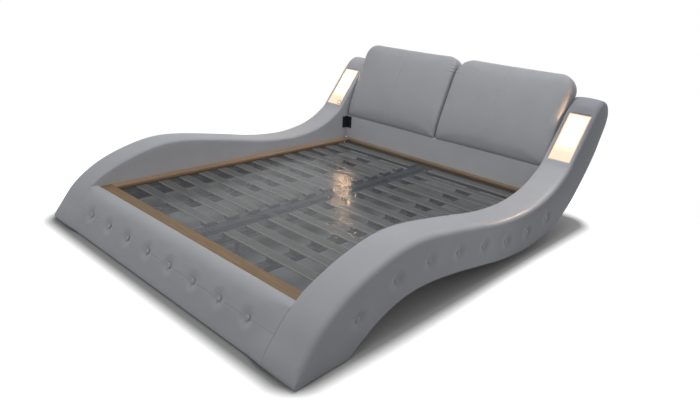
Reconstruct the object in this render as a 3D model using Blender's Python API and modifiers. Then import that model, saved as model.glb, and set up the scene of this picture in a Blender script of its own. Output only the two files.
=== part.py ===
"""Leather bed: two S-shaped side rails that sweep up into lamp columns, a padded foot panel,
a low head panel with two cushions, and a ledge with two drop-in slat frames.

Metres, +Z up. The origin is on the floor at the middle of the bed, the foot end faces -Y,
and "along" below is the distance from the foot end, measured towards the head.
"""
import math

import bmesh
import bpy
from mathutils import Matrix, Vector

# Clearances
gap = 0.0003
overrun = 0.01

# Recess between the rails, and the ledge round it
recess_width = 1.81
recess_length = 2.0725
foot_setback = 0.20
head_depth = 0.3575
ledge_height = 0.215
ledge_board = 0.015
front_ledge_width = 0.075
side_ledge_width = 0.058
rear_ledge_width = 0.038
box_board = 0.018
cross_board_height = 0.085

# Side rails
rail_width = 0.20
rail_height = 0.835
rail_edge_radius = 0.02
padding = 0.012
panel_board = 0.012
rib_board = 0.018
foot_lift = 0.004
cloth = 0.002
cloth_sink = 0.0005
curve_steps = 2
corner_turn_share = 0.5
straight_turn_share = 0.0175

# Outline of a rail: shares of the rail's length and height, chosen by eye
rail_top_shares = [
    (0.000, 0.024), (0.008, 0.078), (0.025, 0.150), (0.045, 0.228), (0.072, 0.302), (0.106, 0.369),
    (0.144, 0.422), (0.186, 0.463), (0.228, 0.492), (0.270, 0.501), (0.319, 0.490), (0.380, 0.462),
    (0.456, 0.422), (0.529, 0.382), (0.589, 0.363), (0.654, 0.359), (0.711, 0.381), (0.745, 0.407),
    (0.779, 0.448), (0.810, 0.504), (0.826, 0.539), (0.838, 0.580), (0.865, 0.687), (0.893, 0.798),
    (0.920, 0.905), (0.941, 0.973), (0.960, 1.000), (0.979, 0.986), (0.993, 0.940), (1.000, 0.880),
]
rail_back_shares = [
    (0.997, 0.814), (0.989, 0.757), (0.977, 0.685), (0.962, 0.595), (0.935, 0.481), (0.907, 0.377),
    (0.875, 0.281), (0.844, 0.216), (0.817, 0.165),
]
rail_under_shares = [
    (0.787, 0.126), (0.745, 0.093), (0.703, 0.074), (0.662, 0.067), (0.616, 0.072), (0.563, 0.087),
    (0.517, 0.109), (0.464, 0.138), (0.413, 0.166), (0.365, 0.188), (0.323, 0.202), (0.281, 0.208),
    (0.242, 0.198), (0.205, 0.169), (0.175, 0.132), (0.152, 0.091), (0.133, 0.054), (0.118, 0.022),
    (0.110, 0.005),
]
rail_toe_share = 0.003
dust_cloth_share = 0.775
rib_shares = [0.035, 0.120, 0.205, 0.290, 0.375, 0.460, 0.545, 0.630, 0.710, 0.775]
shelf_shares = [0.500, 0.945]

# Feet of the rails
belly_foot_radius = 0.03
belly_foot_share = 0.662
glide_width = 0.04
glide_shares = [0.022, 0.090]
foot_inset = 0.05

# Tuft buttons
button_radius = 0.012
button_height = 0.005
button_top_share = 0.6
button_foot_share = 0.8
button_sink = 0.001
tuft_radius = 0.03
tuft_depth = 0.008
rail_button_count = 8
rail_button_first = 0.335
rail_button_last = 0.678
rail_button_level_share = 0.47
foot_button_count = 8
foot_button_edge = 0.1805

# Foot panel: shares of the foot setback and of the ledge height
foot_face_shares = [
    (0.060, 0.022), (0.110, 0.150), (0.180, 0.300), (0.250, 0.440), (0.305, 0.540), (0.335, 0.590),
    (0.375, 0.650), (0.440, 0.745), (0.520, 0.850), (0.610, 0.945), (0.720, 1.015), (0.850, 1.050),
    (0.990, 1.040),
]
foot_seam_share = 0.590
foot_board_low_share = 0.215
foot_board_high_share = 0.640
foot_board_top_share = 0.900
foot_board = 0.012
foot_rib_count = 8

# Head panel and headboard
head_pad = 0.016
head_board = 0.018
head_panel_height = 0.400
head_panel_foot = 0.19
head_lean_angle = 0.410
cushion_front_setback = 0.010
cushion_lift = 0.0215
cushion_length = 0.59
cushion_thickness = 0.118
cushion_margin = 0.006
cushion_corner_radius = 0.052
cushion_pull = 0.012
cushion_crown_share = 0.26
cushion_seam_depth = 0.006
cushion_seam_width = 0.012
cushion_cells_wide = 18
cushion_cells_high = 12
cushion_cells_deep = 4
back_panel = 0.018
back_panel_below = 0.07
back_panel_above = 0.455
cross_rail = 0.045
cross_rail_height = 0.07
upper_rail_level = 0.30

# Corner brackets
bracket_leg = 0.052
bracket_plate = 0.004
bracket_height = 0.093
bracket_drop = 0.100
screw_head_radius = 0.0045
screw_head_height = 0.0022
screw_spread_share = 0.28
screw_reach_share = 0.6

# Lamps in the columns
lamp_width = 0.145
lamp_low_share = 0.5832
lamp_high_share = 0.8982
lamp_sink = 0.003
diffuser = 0.0085
lamp_clearance = 0.0008
housing_depth = 0.035
housing_clearance = 0.002
housing_wall = 0.005
housing_floor = 0.002
led_board = 0.0016
led_board_margin = 0.012

# Push switch of the left lamp
switch_from_side = 0.021
switch_from_end = 0.024
switch_ring_radius = 0.0150
switch_ring_height = 0.0022
switch_barrel_radius = 0.0115
switch_bore_radius = 0.0095
switch_barrel_length = 0.020
switch_floor = 0.002
switch_travel = 0.0025
switch_proud = 0.0012

# Slat frames
slat_count = 13
slat_width = 0.065
slat_board = 0.010
slat_first = 0.195
slat_last = 0.0929
slat_drop = 0.018
slat_inner_end = 0.080
slat_end_clearance = 0.009
tube_width = 0.060
tube_height = 0.030
tube_drop = 0.042
inner_tube_place = 0.060
middle_tube_offset = 0.006
frame_end_clearance = 0.010
cross_tube_width = 0.030
cap_length = 0.046
cap_lip = 0.004
slat_edge_radius = 0.003
joining_plate = 0.003
joining_plate_width = 0.045
joining_plate_reach = 0.066
joining_plate_shares = [0.275, 0.521, 0.772]
film = 0.0008
film_margin = 0.006

# Supports under the slat frames
cleat_height = 0.022
cleat_reach = 0.08
beam_width = 0.10
beam_height = 0.04
leg_width = 0.04
leg_foot_width = 0.07
leg_foot_height = 0.012
leg_shares = [0.169, 0.502, 0.835]

# Worked out from the sizes above
rail_length = foot_setback + recess_length + head_depth
front = -rail_length / 2
half_recess = recess_width / 2
recess_front = foot_setback
recess_rear = foot_setback + recess_length
ledge_under = ledge_height - ledge_board
tube_top = ledge_height - tube_drop
tube_under = tube_top - tube_height
slat_top = ledge_height - slat_drop
slat_under = slat_top - slat_board
side_board_inner = half_recess - gap - box_board
tuft_mouth = 2 * tuft_radius - button_radius
ledge_inner = half_recess - side_ledge_width
frame_front = recess_front + front_ledge_width + frame_end_clearance
frame_rear = recess_rear - rear_ledge_width - frame_end_clearance
rail_cavity = rail_width - 2 * padding
rib_width = rail_cavity - 2 * panel_board - 4 * gap
cushion_width = half_recess - cushion_margin
cushion_level = head_panel_height + cushion_lift
bracket_level = head_panel_height - bracket_drop
lamp_low = lamp_low_share * rail_height
lamp_high = lamp_high_share * rail_height
rail_button_pitch = (rail_length - rail_button_first - rail_button_last) / (rail_button_count - 1)
foot_button_pitch = (recess_width - 2 * foot_button_edge) / (foot_button_count - 1)
slat_pitch = (recess_length - slat_first - slat_last - slat_width) / (slat_count - 1)
slat_outer_end = ledge_inner - slat_end_clearance
outer_tube_place = slat_outer_end + cap_lip - tube_width / 2
middle_tube_place = (slat_inner_end + slat_outer_end) / 2 + middle_tube_offset
lean = Matrix.Rotation(-head_lean_angle, 4, "X")

for old in list(bpy.data.objects):
    bpy.data.objects.remove(old)

bed = bpy.data.collections.new("leather_bed")
cutters = bpy.data.collections.new("cutters")
bpy.context.scene.collection.children.link(bed)
bpy.context.scene.collection.children.link(cutters)


def material(name, colour, roughness, metallic=0.0):
    made = bpy.data.materials.new(name)
    made.use_nodes = True
    shader = made.node_tree.nodes["Principled BSDF"]
    shader.inputs["Base Color"].default_value = (*colour, 1.0)
    shader.inputs["Roughness"].default_value = roughness
    shader.inputs["Metallic"].default_value = metallic
    return made


leather = material("leather", (0.42, 0.44, 0.48), 0.45)
plywood = material("plywood", (0.50, 0.34, 0.18), 0.65)
slat_wood = material("slat_wood", (0.45, 0.42, 0.36), 0.55)
black_steel = material("black_steel", (0.02, 0.02, 0.02), 0.45, 0.6)
zinc_steel = material("zinc_steel", (0.55, 0.56, 0.58), 0.35, 1.0)
black_plastic = material("black_plastic", (0.02, 0.02, 0.02), 0.5)
opal = material("opal", (0.95, 0.85, 0.65), 0.35)
circuit_board = material("circuit_board", (0.85, 0.85, 0.80), 0.5)
black_cloth = material("black_cloth", (0.015, 0.015, 0.017), 0.9)
clear_film = material("clear_film", (0.80, 0.82, 0.84), 0.15)


def add_mesh(name, shape, finish):
    """Make an object of a bmesh and put it in the bed's collection."""
    mesh = bpy.data.meshes.new(name)
    shape.to_mesh(mesh)
    shape.free()
    made = bpy.data.objects.new(name, mesh)
    bed.objects.link(made)
    if finish:
        mesh.materials.append(finish)
    return made


def cube_into(shape, low, high, place=None):
    """Add a box between two corners; place moves it from its own axes."""
    low, high = Vector(low), Vector(high)
    size = Matrix.Diagonal((*(high - low), 1.0))
    where = Matrix.Translation((low + high) / 2) @ size
    bmesh.ops.create_cube(shape, size=1.0, matrix=(place or Matrix()) @ where)


def boxes(name, corners, finish, place=None):
    shape = bmesh.new()
    for low, high in corners:
        cube_into(shape, low, high, place)
    return add_mesh(name, shape, finish)


def rods(name, ends, radius, finish, sides=12, top_radius=None):
    """Straight round pieces, each from one end point to the other."""
    shape = bmesh.new()
    for start, end in ends:
        start, end = Vector(start), Vector(end)
        turn = (end - start).to_track_quat("Z", "Y").to_matrix().to_4x4()
        where = Matrix.Translation((start + end) / 2) @ turn
        upper = radius if top_radius is None else top_radius
        bmesh.ops.create_cone(shape, cap_ends=True, segments=sides, radius1=radius, radius2=upper,
                              depth=(end - start).length, matrix=where)
    return add_mesh(name, shape, finish)


def as_cutter(piece):
    for home in list(piece.users_collection):
        home.objects.unlink(piece)
    cutters.objects.link(piece)
    piece.hide_render = True
    piece.display_type = "WIRE"
    return piece


def cut(piece, *tools):
    for tool in tools:
        step = piece.modifiers.new("cut", "BOOLEAN")
        step.operation = "DIFFERENCE"
        step.solver = "EXACT"
        step.object = as_cutter(tool)


def join(piece, *others):
    """Fuse pieces that are glued or welded in the real bed."""
    for other in others:
        step = piece.modifiers.new("join", "BOOLEAN")
        step.operation = "UNION"
        step.solver = "EXACT"
        step.object = as_cutter(other)


def plate(name, outline, low, high, finish, turn, edge_radius=0.0):
    """A flat outline made solid between two levels of its third axis, its rims rounded."""
    curve = bpy.data.curves.new(name, "CURVE")
    curve.dimensions = "2D"
    curve.fill_mode = "BOTH"
    curve.extrude = (high - low) / 2 - edge_radius
    curve.bevel_depth = edge_radius
    curve.bevel_resolution = 1
    curve.offset = -edge_radius
    line = curve.splines.new("POLY")
    line.points.add(len(outline) - 1)
    for point, (across, up) in zip(line.points, outline):
        point.co = (across, up, 0.0, 1.0)
    line.use_cyclic_u = True
    drawn = bpy.data.objects.new(name + "_outline", curve)
    bed.objects.link(drawn)
    bpy.context.view_layer.update()
    seen = drawn.evaluated_get(bpy.context.evaluated_depsgraph_get())
    mesh = bpy.data.meshes.new_from_object(seen)
    bpy.data.objects.remove(drawn)
    shape = bmesh.new()
    shape.from_mesh(mesh)
    bpy.data.meshes.remove(mesh)
    bmesh.ops.remove_doubles(shape, verts=shape.verts, dist=gap / 10)
    bmesh.ops.recalc_face_normals(shape, faces=shape.faces)
    bmesh.ops.translate(shape, verts=shape.verts, vec=(0.0, 0.0, (low + high) / 2))
    bmesh.ops.transform(shape, verts=shape.verts, matrix=turn)
    return add_mesh(name, shape, finish)


# An outline drawn as (along, height) stands across the bed, and its third axis is +X
standing = Matrix(((0, 0, 1, 0), (1, 0, 0, front), (0, 1, 0, 0), (0, 0, 0, 1)))
# An outline drawn as (x, along) lies flat, and its third axis is +Z
lying = Matrix.Translation((0.0, front, 0.0))


def smooth(points, steps):
    """Points on a smooth curve through the given ones (Catmull-Rom)."""
    ends = [points[0]] + list(points) + [points[-1]]
    made = []
    for a, b, c, d in zip(ends, ends[1:], ends[2:], ends[3:]):
        for step in range(steps):
            t = step / steps
            made.append(tuple(
                (2 * q + (r - p) * t + (2 * p - 5 * q + 4 * r - s) * t * t
                 + (3 * q - p - 3 * r + s) * t ** 3) / 2
                for p, q, r, s in zip(a, b, c, d)))
    made.append(tuple(points[-1]))
    return made


def scaled(shares, wide, high):
    return [(share * wide, level * high) for share, level in shares]


def inset(points, amounts):
    """Move each side of a closed outline inwards by its own amount; the outline runs clockwise."""
    count = len(points)
    sides = []
    for index, amount in enumerate(amounts):
        start, end = Vector(points[index]), Vector(points[(index + 1) % count])
        run = (end - start).normalized()
        inwards = Vector((run.y, -run.x))
        sides.append((start + inwards * amount, end + inwards * amount, run, amount))
    made = []
    for index in range(count):
        before, after = sides[index - 1], sides[index]
        turn = before[2].cross(after[2])
        if abs(before[3] - after[3]) > gap / 10 and abs(turn) < corner_turn_share:
            made += [tuple(before[1]), tuple(after[0])]
        elif abs(turn) < straight_turn_share:
            made.append(tuple((before[1] + after[0]) / 2))
        else:
            reach = (after[0] - before[0]).cross(after[2]) / turn
            made.append(tuple(before[0] + before[2] * reach))
    return made


def height_at(path, along):
    """Height of a path, drawn left to right or right to left, at one distance along."""
    for (a, low), (b, high) in zip(path, path[1:]):
        if min(a, b) <= along <= max(a, b) and a != b:
            return low + (high - low) * (along - a) / (b - a)
    return path[-1][1]


def along_at(path, level):
    """Distance along at which a path that climbs or falls passes one level."""
    for (a, low), (b, high) in zip(path, path[1:]):
        if min(low, high) <= level <= max(low, high) and low != high:
            return a + (b - a) * (level - low) / (high - low)
    return path[-1][0]


# Paths of the rail's outline
top_points = scaled(rail_top_shares, rail_length, rail_height)
back_points = scaled(rail_back_shares, rail_length, rail_height)
under_points = scaled(rail_under_shares, rail_length, rail_height)
under_points[-1] = (under_points[-1][0], foot_lift)
toe = (rail_toe_share * rail_length, foot_lift)
whole_line = smooth(top_points + back_points + under_points, curve_steps)
wall_count = (len(top_points) + len(back_points)) * curve_steps
wall_line = whole_line[:wall_count + 1]
under_line = whole_line[wall_count:]
rail_outline = whole_line + [toe]
crest = max(range(len(wall_line)), key=lambda index: wall_line[index][1])
sag = min(range(crest // 2, crest), key=lambda index: wall_line[index][1])
column_back = wall_line[crest:]
column_front = wall_line[sag:crest + 1]


def rail_section(wall, under, walls=wall_count):
    """The rail's outline with its walls and its open underside moved in by two amounts."""
    amounts = [wall] * walls + [under] * (len(rail_outline) - walls - 1) + [wall]
    return inset(rail_outline, amounts)


def lamp_frame(side):
    """Axes on the column's front face: x across, y up the slope, z out of the leather."""
    low = Vector((0.0, along_at(column_front, lamp_low), lamp_low))
    high = Vector((0.0, along_at(column_front, lamp_high), lamp_high))
    upwards = (high - low).normalized()
    across = Vector((1.0, 0.0, 0.0))
    outwards = across.cross(upwards)
    centre = (low + high) / 2 + Vector((side * (half_recess + rail_width / 2), front, 0.0))
    place = Matrix((across, upwards, outwards)).transposed().to_4x4()
    place.translation = centre
    return place, (high - low).length


def side_rail(name, side):
    inner = side * half_recess

    def across(start, end):
        """Levels on X between two depths measured from the rail's inner face outwards."""
        return sorted((inner + side * start, inner + side * end))

    # Padded leather cover, open below
    low, high = across(0.0, rail_width)
    cover = plate(name + "_cover", rail_outline, low, high, leather, standing, rail_edge_radius)
    low, high = across(padding, rail_width - padding)
    cavity = plate(name + "_cavity", rail_section(padding, -overrun), low, high, None, standing)
    # The lamp's pocket goes through the padding of the column's face
    place, length = lamp_frame(side)
    half = Vector((lamp_width / 2 + lamp_clearance, length / 2 + lamp_clearance))
    pocket = boxes(name + "_lamp_pocket", [((-half.x, -half.y, -padding - overrun),
                                            (half.x, half.y, overrun))], None, place)
    cut(cover, cavity, pocket)
    # Tufts along the outer face
    seats = []
    for index in range(rail_button_count):
        along = rail_button_first + index * rail_button_pitch
        bottom, top = height_at(under_line, along), height_at(wall_line, along)
        level = bottom + rail_button_level_share * (top - bottom)
        seats.append(Vector((inner + side * rail_width, front + along, level)))
    sew_tufts(cover, name, seats, Vector((side, 0.0, 0.0)))

    # Plywood carcass inside the cover, glued up as one
    section = rail_section(padding + gap, cloth_sink + cloth + gap, wall_count + 1)
    low, high = across(padding + gap, padding + gap + panel_board)
    carcass = plate(name + "_carcass", section, low, high, plywood, standing)
    low, high = across(rail_width - padding - gap - panel_board, rail_width - padding - gap)
    outer_panel = plate(name + "_outer_panel", section, low, high, plywood, standing)
    middle = side * (half_recess + rail_width / 2)
    half = rib_width / 2 + panel_board / 2
    ribs = []
    for share in rib_shares:
        start, end = share * rail_length - rib_board / 2, share * rail_length + rib_board / 2
        roof = min(height_at(wall_line, start), height_at(wall_line, end)) - 2 * padding
        base = max(height_at(under_line, start), height_at(under_line, end)) + padding
        ribs.append(((middle - half, front + start, base), (middle + half, front + end, roof)))
    for share in shelf_shares:
        level = share * rail_height
        floor = level - rib_board
        start = max(along_at(column_front, level), along_at(column_front, floor)) + 2 * padding
        end = min(along_at(column_back, level), along_at(column_back, floor)) - 2 * padding
        ribs.append(((middle - half, front + start, floor), (middle + half, front + end, level)))
    join(carcass, outer_panel, boxes(name + "_ribs", ribs, None))

    # Dust cloth stapled under the carcass
    strip = [point for point in under_line if point[0] < dust_cloth_share * rail_length]
    strip.append((rail_toe_share * rail_length + 2 * padding, foot_lift))
    upper, lower = [], []
    for index, point in enumerate(strip):
        before = Vector(strip[max(index - 1, 0)])
        after = Vector(strip[min(index + 1, len(strip) - 1)])
        run = (after - before).normalized()
        inwards = Vector((run.y, -run.x))
        lower.append(tuple(Vector(point) + inwards * cloth_sink))
        upper.append(tuple(Vector(point) + inwards * (cloth_sink + cloth)))
    low, high = across(padding + gap, rail_width - padding - gap)
    plate(name + "_dust_cloth", lower + upper[::-1], low, high, black_cloth, standing)

    # Round foot under the low point, and a glide strip under the front foot
    along = belly_foot_share * rail_length
    edges = (along - belly_foot_radius, along, along + belly_foot_radius)
    top = min(height_at(under_line, edge) for edge in edges) + cloth_sink - gap
    x = side * (half_recess + foot_inset)
    rods(name + "_rear_foot", [((x, front + along, 0.0), (x, front + along, top))],
         belly_foot_radius, black_plastic, sides=20)
    start, end = [front + share * rail_length for share in glide_shares]
    boxes(name + "_front_glide", [((middle - glide_width / 2, start, 0.0),
                                   (middle + glide_width / 2, end, foot_lift + cloth_sink - gap))],
          black_plastic)


def sew_tufts(cover, name, seats, outwards):
    """Draw the padding in round each covered button, and sew the button to the bottom."""
    dents, buttons = [], []
    for seat in seats:
        bottom = seat - outwards * tuft_depth
        dents.append((bottom, seat + outwards * tuft_depth))
        buttons.append((bottom - outwards * button_sink, bottom + outwards * button_height))
    cut(cover, rods(name + "_tufts", dents, button_radius, None, top_radius=tuft_mouth))
    join(cover, rods(name + "_buttons", buttons, button_radius * button_foot_share, None,
                     top_radius=button_radius * button_top_share))


def lamp(name, side):
    """Opal diffuser let into the column, with its tray and light board behind it."""
    place, length = lamp_frame(side)
    half = lamp_width / 2
    back = -lamp_sink - diffuser
    shade = boxes(name + "_diffuser", [((-half, -length / 2, back), (half, length / 2, -lamp_sink))],
                  opal, place)
    wide = rib_width / 2
    tall = length / 2 + (wide - half)
    top = min(back, -padding) - housing_clearance
    low = top - housing_depth
    housing = boxes(name + "_housing", [((-wide, -tall, low), (wide, tall, top))], black_plastic, place)
    inner, reach = wide - housing_wall, tall - housing_wall
    cut(housing, boxes(name + "_hollow", [((-inner, -reach, low + housing_floor),
                                           (inner, reach, top + overrun))], None, place))
    board = low + housing_floor + gap
    inner, reach = inner - led_board_margin, reach - led_board_margin
    boxes(name + "_led_board", [((-inner, -reach, board), (inner, reach, board + led_board))],
          circuit_board, place)
    return shade, place, length


def turned(name, profile, finish, place, sides=24):
    """A profile of (radius, height) points, run down its outer side, turned round its own axis."""
    mesh = bpy.data.meshes.new(name)
    points = [(radius, 0.0, level) for radius, level in profile]
    mesh.from_pydata(points, [(i, i + 1) for i in range(len(points) - 1)], [])
    piece = bpy.data.objects.new(name, mesh)
    bed.objects.link(piece)
    piece.matrix_world = place
    step = piece.modifiers.new("turn", "SCREW")
    step.axis = "Z"
    step.steps = sides
    step.render_steps = sides
    step.use_merge_vertices = True
    step.merge_threshold = gap / 10
    mesh.materials.append(finish)
    return piece


def lamp_switch(shade, place, length):
    """Push switch in the lower inner corner of the left lamp."""
    x = lamp_width / 2 - switch_from_side
    y = -length / 2 + switch_from_end
    centre = place @ Matrix.Translation((x, y, -lamp_sink))
    ends = (centre @ Vector((0.0, 0.0, -diffuser - overrun)), centre @ Vector((0.0, 0.0, overrun)))
    cut(shade, rods("lamp_switch_hole", [ends], switch_barrel_radius + gap, None, sides=24))
    base = -switch_barrel_length
    bore_floor = base + switch_floor
    turned("lamp_switch_body", [
        (0.0, bore_floor), (switch_bore_radius, bore_floor), (switch_bore_radius, switch_ring_height),
        (switch_ring_radius, switch_ring_height), (switch_ring_radius, gap),
        (switch_barrel_radius, gap), (switch_barrel_radius, base), (0.0, base)], zinc_steel, centre)
    radius = switch_bore_radius - gap
    top = switch_ring_height + switch_proud
    stop = bore_floor + switch_travel + gap
    turned("lamp_switch_button", [
        (0.0, top), (radius - switch_proud / 2, top), (radius, top - switch_proud / 2),
        (radius, stop), (0.0, stop)], black_plastic, centre)


def foot_panel():
    """Low convex foot: a glued carcass in a padded cover with one tufted seam."""
    face = scaled(foot_face_shares, foot_setback, ledge_height)
    half = half_recess - gap
    low = Vector((foot_board_low_share * foot_setback, foot_lift))
    high = Vector((foot_board_high_share * foot_setback, foot_board_top_share * ledge_height))
    back = [(foot_setback - gap, high.y), tuple(high), tuple(low)]
    cover = plate("foot_panel_cover", face + back, -half, half, leather, standing)
    seam = min(range(len(face)), key=lambda index: abs(face[index][1] - foot_seam_share * ledge_height))
    run = (Vector(face[seam + 1]) - Vector(face[seam - 1])).normalized()
    outwards = Vector((0.0, -run.y, run.x))
    first = -(foot_button_count - 1) / 2 * foot_button_pitch
    seats = [Vector((first + index * foot_button_pitch, front + face[seam][0], face[seam][1]))
             for index in range(foot_button_count)]
    sew_tufts(cover, "foot_panel", seats, outwards)

    # Slanted board with ribs behind it
    run = (high - low).normalized()
    inwards = Vector((run.y, -run.x))
    level = high.y - gap
    slope = run.x / run.y

    def place_at(depth, height):
        start = low + inwards * depth
        return start.x + slope * (height - start.y), height

    board = [place_at(gap, foot_lift), place_at(gap, level),
             place_at(gap + foot_board, level), place_at(gap + foot_board, foot_lift)]
    carcass = plate("foot_panel_carcass", board, -half, half, plywood, standing)
    middle = gap + foot_board / 2
    rib = [place_at(middle, foot_lift), place_at(middle, level),
           (foot_setback - gap, level), (foot_setback - gap, foot_lift)]
    pitch = (2 * half - rib_board) / (foot_rib_count - 1)
    for index in range(foot_rib_count):
        start = -half + index * pitch
        join(carcass, plate("foot_rib", rib, start, start + rib_board, None, standing))


def platform_box():
    """Plywood ledge, each strip glued to the board under it, with a cleat for the slat frames."""
    half = half_recess - gap
    base = ledge_under - cross_board_height
    inner = recess_front + box_board
    strip = [(recess_front, ledge_height), (recess_front + front_ledge_width, ledge_height),
             (recess_front + front_ledge_width, ledge_under), (inner, ledge_under), (inner, base),
             (recess_front, base)]
    plate("front_ledge", strip, -half, half, plywood, standing)
    inner = recess_rear - box_board
    strip = [(recess_rear, ledge_height), (recess_rear - rear_ledge_width, ledge_height),
             (recess_rear - rear_ledge_width, ledge_under), (inner, ledge_under), (inner, base),
             (recess_rear, base)]
    plate("rear_ledge", strip, -half, half, plywood, standing)
    start = front + recess_front + front_ledge_width + gap
    end = front + recess_rear - rear_ledge_width - gap
    cleat_top = tube_under - gap
    section = [(half, ledge_height), (ledge_inner, ledge_height), (ledge_inner, ledge_under),
               (side_board_inner, ledge_under), (side_board_inner, cleat_top),
               (side_board_inner - cleat_reach, cleat_top),
               (side_board_inner - cleat_reach, cleat_top - cleat_height),
               (half, cleat_top - cleat_height)]
    upright = Matrix(((1, 0, 0, 0), (0, 0, -1, 0), (0, 1, 0, 0), (0, 0, 0, 1)))
    for name, side in (("left", -1), ("right", 1)):
        outline = [(side * x, level) for x, level in section]
        plate(name + "_ledge", outline, -end, -start, plywood, upright)


def slat_frames():
    """Two welded frames with sprung slats in end caps, plates across the middle, and a film over all."""
    near, far = front + frame_front, front + frame_rear
    starts = [front + recess_front + slat_first + index * slat_pitch for index in range(slat_count)]
    for name, side in (("left", -1), ("right", 1)):
        tubes = []
        for place in (inner_tube_place, middle_tube_place, outer_tube_place):
            x = side * place
            tubes.append(((x - tube_width / 2, near, tube_under), (x + tube_width / 2, far, tube_top)))
        frame = boxes(name + "_slat_frame", tubes, black_steel)
        a, b = sorted((side * inner_tube_place, side * outer_tube_place))
        crossing = boxes(name + "_cross_tubes", [
            ((a, near, tube_under), (b, near + cross_tube_width, tube_top)),
            ((a, far - cross_tube_width, tube_under), (b, far, tube_top))], None)
        seats = []
        for y in starts:
            inner, outer = slat_inner_end - cap_lip, slat_outer_end + cap_lip
            for start, end in ((inner, inner + cap_length), (outer - cap_length, outer),
                               (middle_tube_place - cap_length / 2, middle_tube_place + cap_length / 2)):
                a, b = sorted((side * start, side * end))
                seats.append(((a, y, tube_top - gap), (b, y + slat_width, slat_under - gap)))
        join(frame, crossing, boxes(name + "_caps", seats, None))
        for index, y in enumerate(starts):
            a, b = sorted((side * slat_inner_end, side * slat_outer_end))
            board = [((a, y, slat_under), (b, y + slat_width, slat_top))]
            slat = boxes(f"{name}_slat_{index + 1:02d}", board, slat_wood)
            edge = slat.modifiers.new("edge", "BEVEL")
            edge.width = slat_edge_radius
            edge.segments = 1
        if side < 0:
            # Plates welded to this frame lie over the other one
            welds, plates = [], []
            for share in joining_plate_shares:
                y = front + recess_front + share * recess_length
                low, high = y - joining_plate_width / 2, y + joining_plate_width / 2
                welds.append(((-joining_plate_reach, low, tube_top - joining_plate),
                              (-inner_tube_place, high, tube_top + joining_plate / 2)))
                plates.append(((-joining_plate_reach, low, tube_top + gap),
                               (joining_plate_reach, high, tube_top + joining_plate)))
            join(frame, boxes("plate_welds", welds, None), boxes("joining_plates", plates, None))
    level = slat_top + gap
    boxes("clear_film", [((-slat_outer_end, near + film_margin, level),
                          (slat_outer_end, far - film_margin, level + film))], clear_film)


def centre_support():
    """Beam on three legs under the middle of the slat frames."""
    top = tube_under - gap
    start = front + recess_front + box_board + gap
    end = front + recess_rear - box_board - gap
    beam = boxes("centre_beam", [
        ((-beam_width / 2, start, top - beam_height), (beam_width / 2, end, top))], zinc_steel)
    legs, feet = [], []
    for share in leg_shares:
        y = front + recess_front + share * recess_length
        legs.append(((-leg_width / 2, y - leg_width / 2, leg_foot_height / 2),
                     (leg_width / 2, y + leg_width / 2, top - beam_height / 2)))
        feet.append(((-leg_foot_width / 2, y - leg_foot_width / 2, 0.0),
                     (leg_foot_width / 2, y + leg_foot_width / 2, leg_foot_height)))
    join(beam, boxes("legs", legs, None), boxes("leg_feet", feet, None))


def leaning_place():
    """Axes of the leaning headboard: x across, y back from the cushions' face, z up the slope."""
    foot = Vector((0.0, front + recess_rear - cushion_front_setback, cushion_level))
    return Matrix.Translation(foot) @ lean


def cushion(name, side):
    """Crowned cushion with drawn-in sides and one sewn seam up its middle."""
    shape = bmesh.new()
    bmesh.ops.create_cube(shape, size=2.0)
    cells = (cushion_cells_wide, cushion_cells_deep, cushion_cells_high)
    for axis, count in enumerate(cells):
        edges = [edge for edge in shape.edges
                 if abs((edge.verts[0].co - edge.verts[1].co)[axis]) > 1.0]
        bmesh.ops.subdivide_edges(shape, edges=edges, cuts=count - 1, use_grid_fill=True)
    half = Vector(((cushion_width - cushion_margin) / 2, cushion_thickness / 2, cushion_length / 2))
    radius = cushion_corner_radius
    for vert in shape.verts:
        point = Vector([math.sin(part * math.pi / 2) * size for part, size in zip(vert.co, half)])
        core = Vector([max(-size + radius, min(size - radius, part)) for part, size in zip(point, half)])
        out = point - core
        if out.length > 0.0:
            limit = max(abs(part) for part in out)
            point = core + out.normalized() * limit
        u, w = point.x / half.x, point.z / half.z
        crown = (1 - u ** 4) * (1 - w ** 4)
        point.y *= 1 - cushion_crown_share * (1 - crown)
        point.x -= cushion_pull * u * (1 - w * w)
        point.z -= cushion_pull * w * (1 - u * u)
        if point.y < 0:
            point.y += cushion_seam_depth * math.exp(-(point.x / cushion_seam_width) ** 2)
        vert.co = point
    bmesh.ops.recalc_face_normals(shape, faces=shape.faces)
    centre = Vector((side * half_recess / 2, cushion_thickness / 2, cushion_length / 2))
    bmesh.ops.transform(shape, verts=shape.verts, matrix=leaning_place() @ Matrix.Translation(centre))
    return add_mesh(name, shape, leather)


def headboard():
    half = half_recess - gap
    # Low padded panel behind the ledge
    pad_front = recess_rear + gap
    pad_back = pad_front + head_pad
    board_front = pad_back + gap
    board_back = board_front + head_board
    wrap = [(pad_front, head_panel_foot), (pad_front, head_panel_height),
            (board_back, head_panel_height), (board_back, head_panel_height - head_pad),
            (pad_back, head_panel_height - head_pad), (pad_back, head_panel_foot)]
    plate("head_panel_cover", wrap, -half, half, leather, standing)

    # Carcass: upright board, leaning back panel, and a cross rail behind each
    carcass = boxes("headboard_carcass", [((-half, front + board_front, head_panel_foot),
                                           (half, front + board_back,
                                            head_panel_height - head_pad - gap))], plywood)
    place = leaning_place()
    face = cushion_thickness + gap
    panel = boxes("back_panel", [((-half, face, -back_panel_below),
                                  (half, face + back_panel, back_panel_above))], None, place)
    rear = face + back_panel / 2
    upper = boxes("upper_rail", [((-half, rear, upper_rail_level),
                                  (half, rear + cross_rail, upper_rail_level + cross_rail_height))],
                  None, place)
    foot = place @ Vector((0.0, rear, -back_panel_below + back_panel))
    lower = boxes("lower_rail", [((-half, front + board_back - head_board / 2, foot.z),
                                  (half, foot.y, foot.z + cross_rail_height / 2))], None)
    join(carcass, lower, panel, upper)
    for name, side in (("left", -1), ("right", 1)):
        cushion(name + "_cushion", side)


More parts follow.
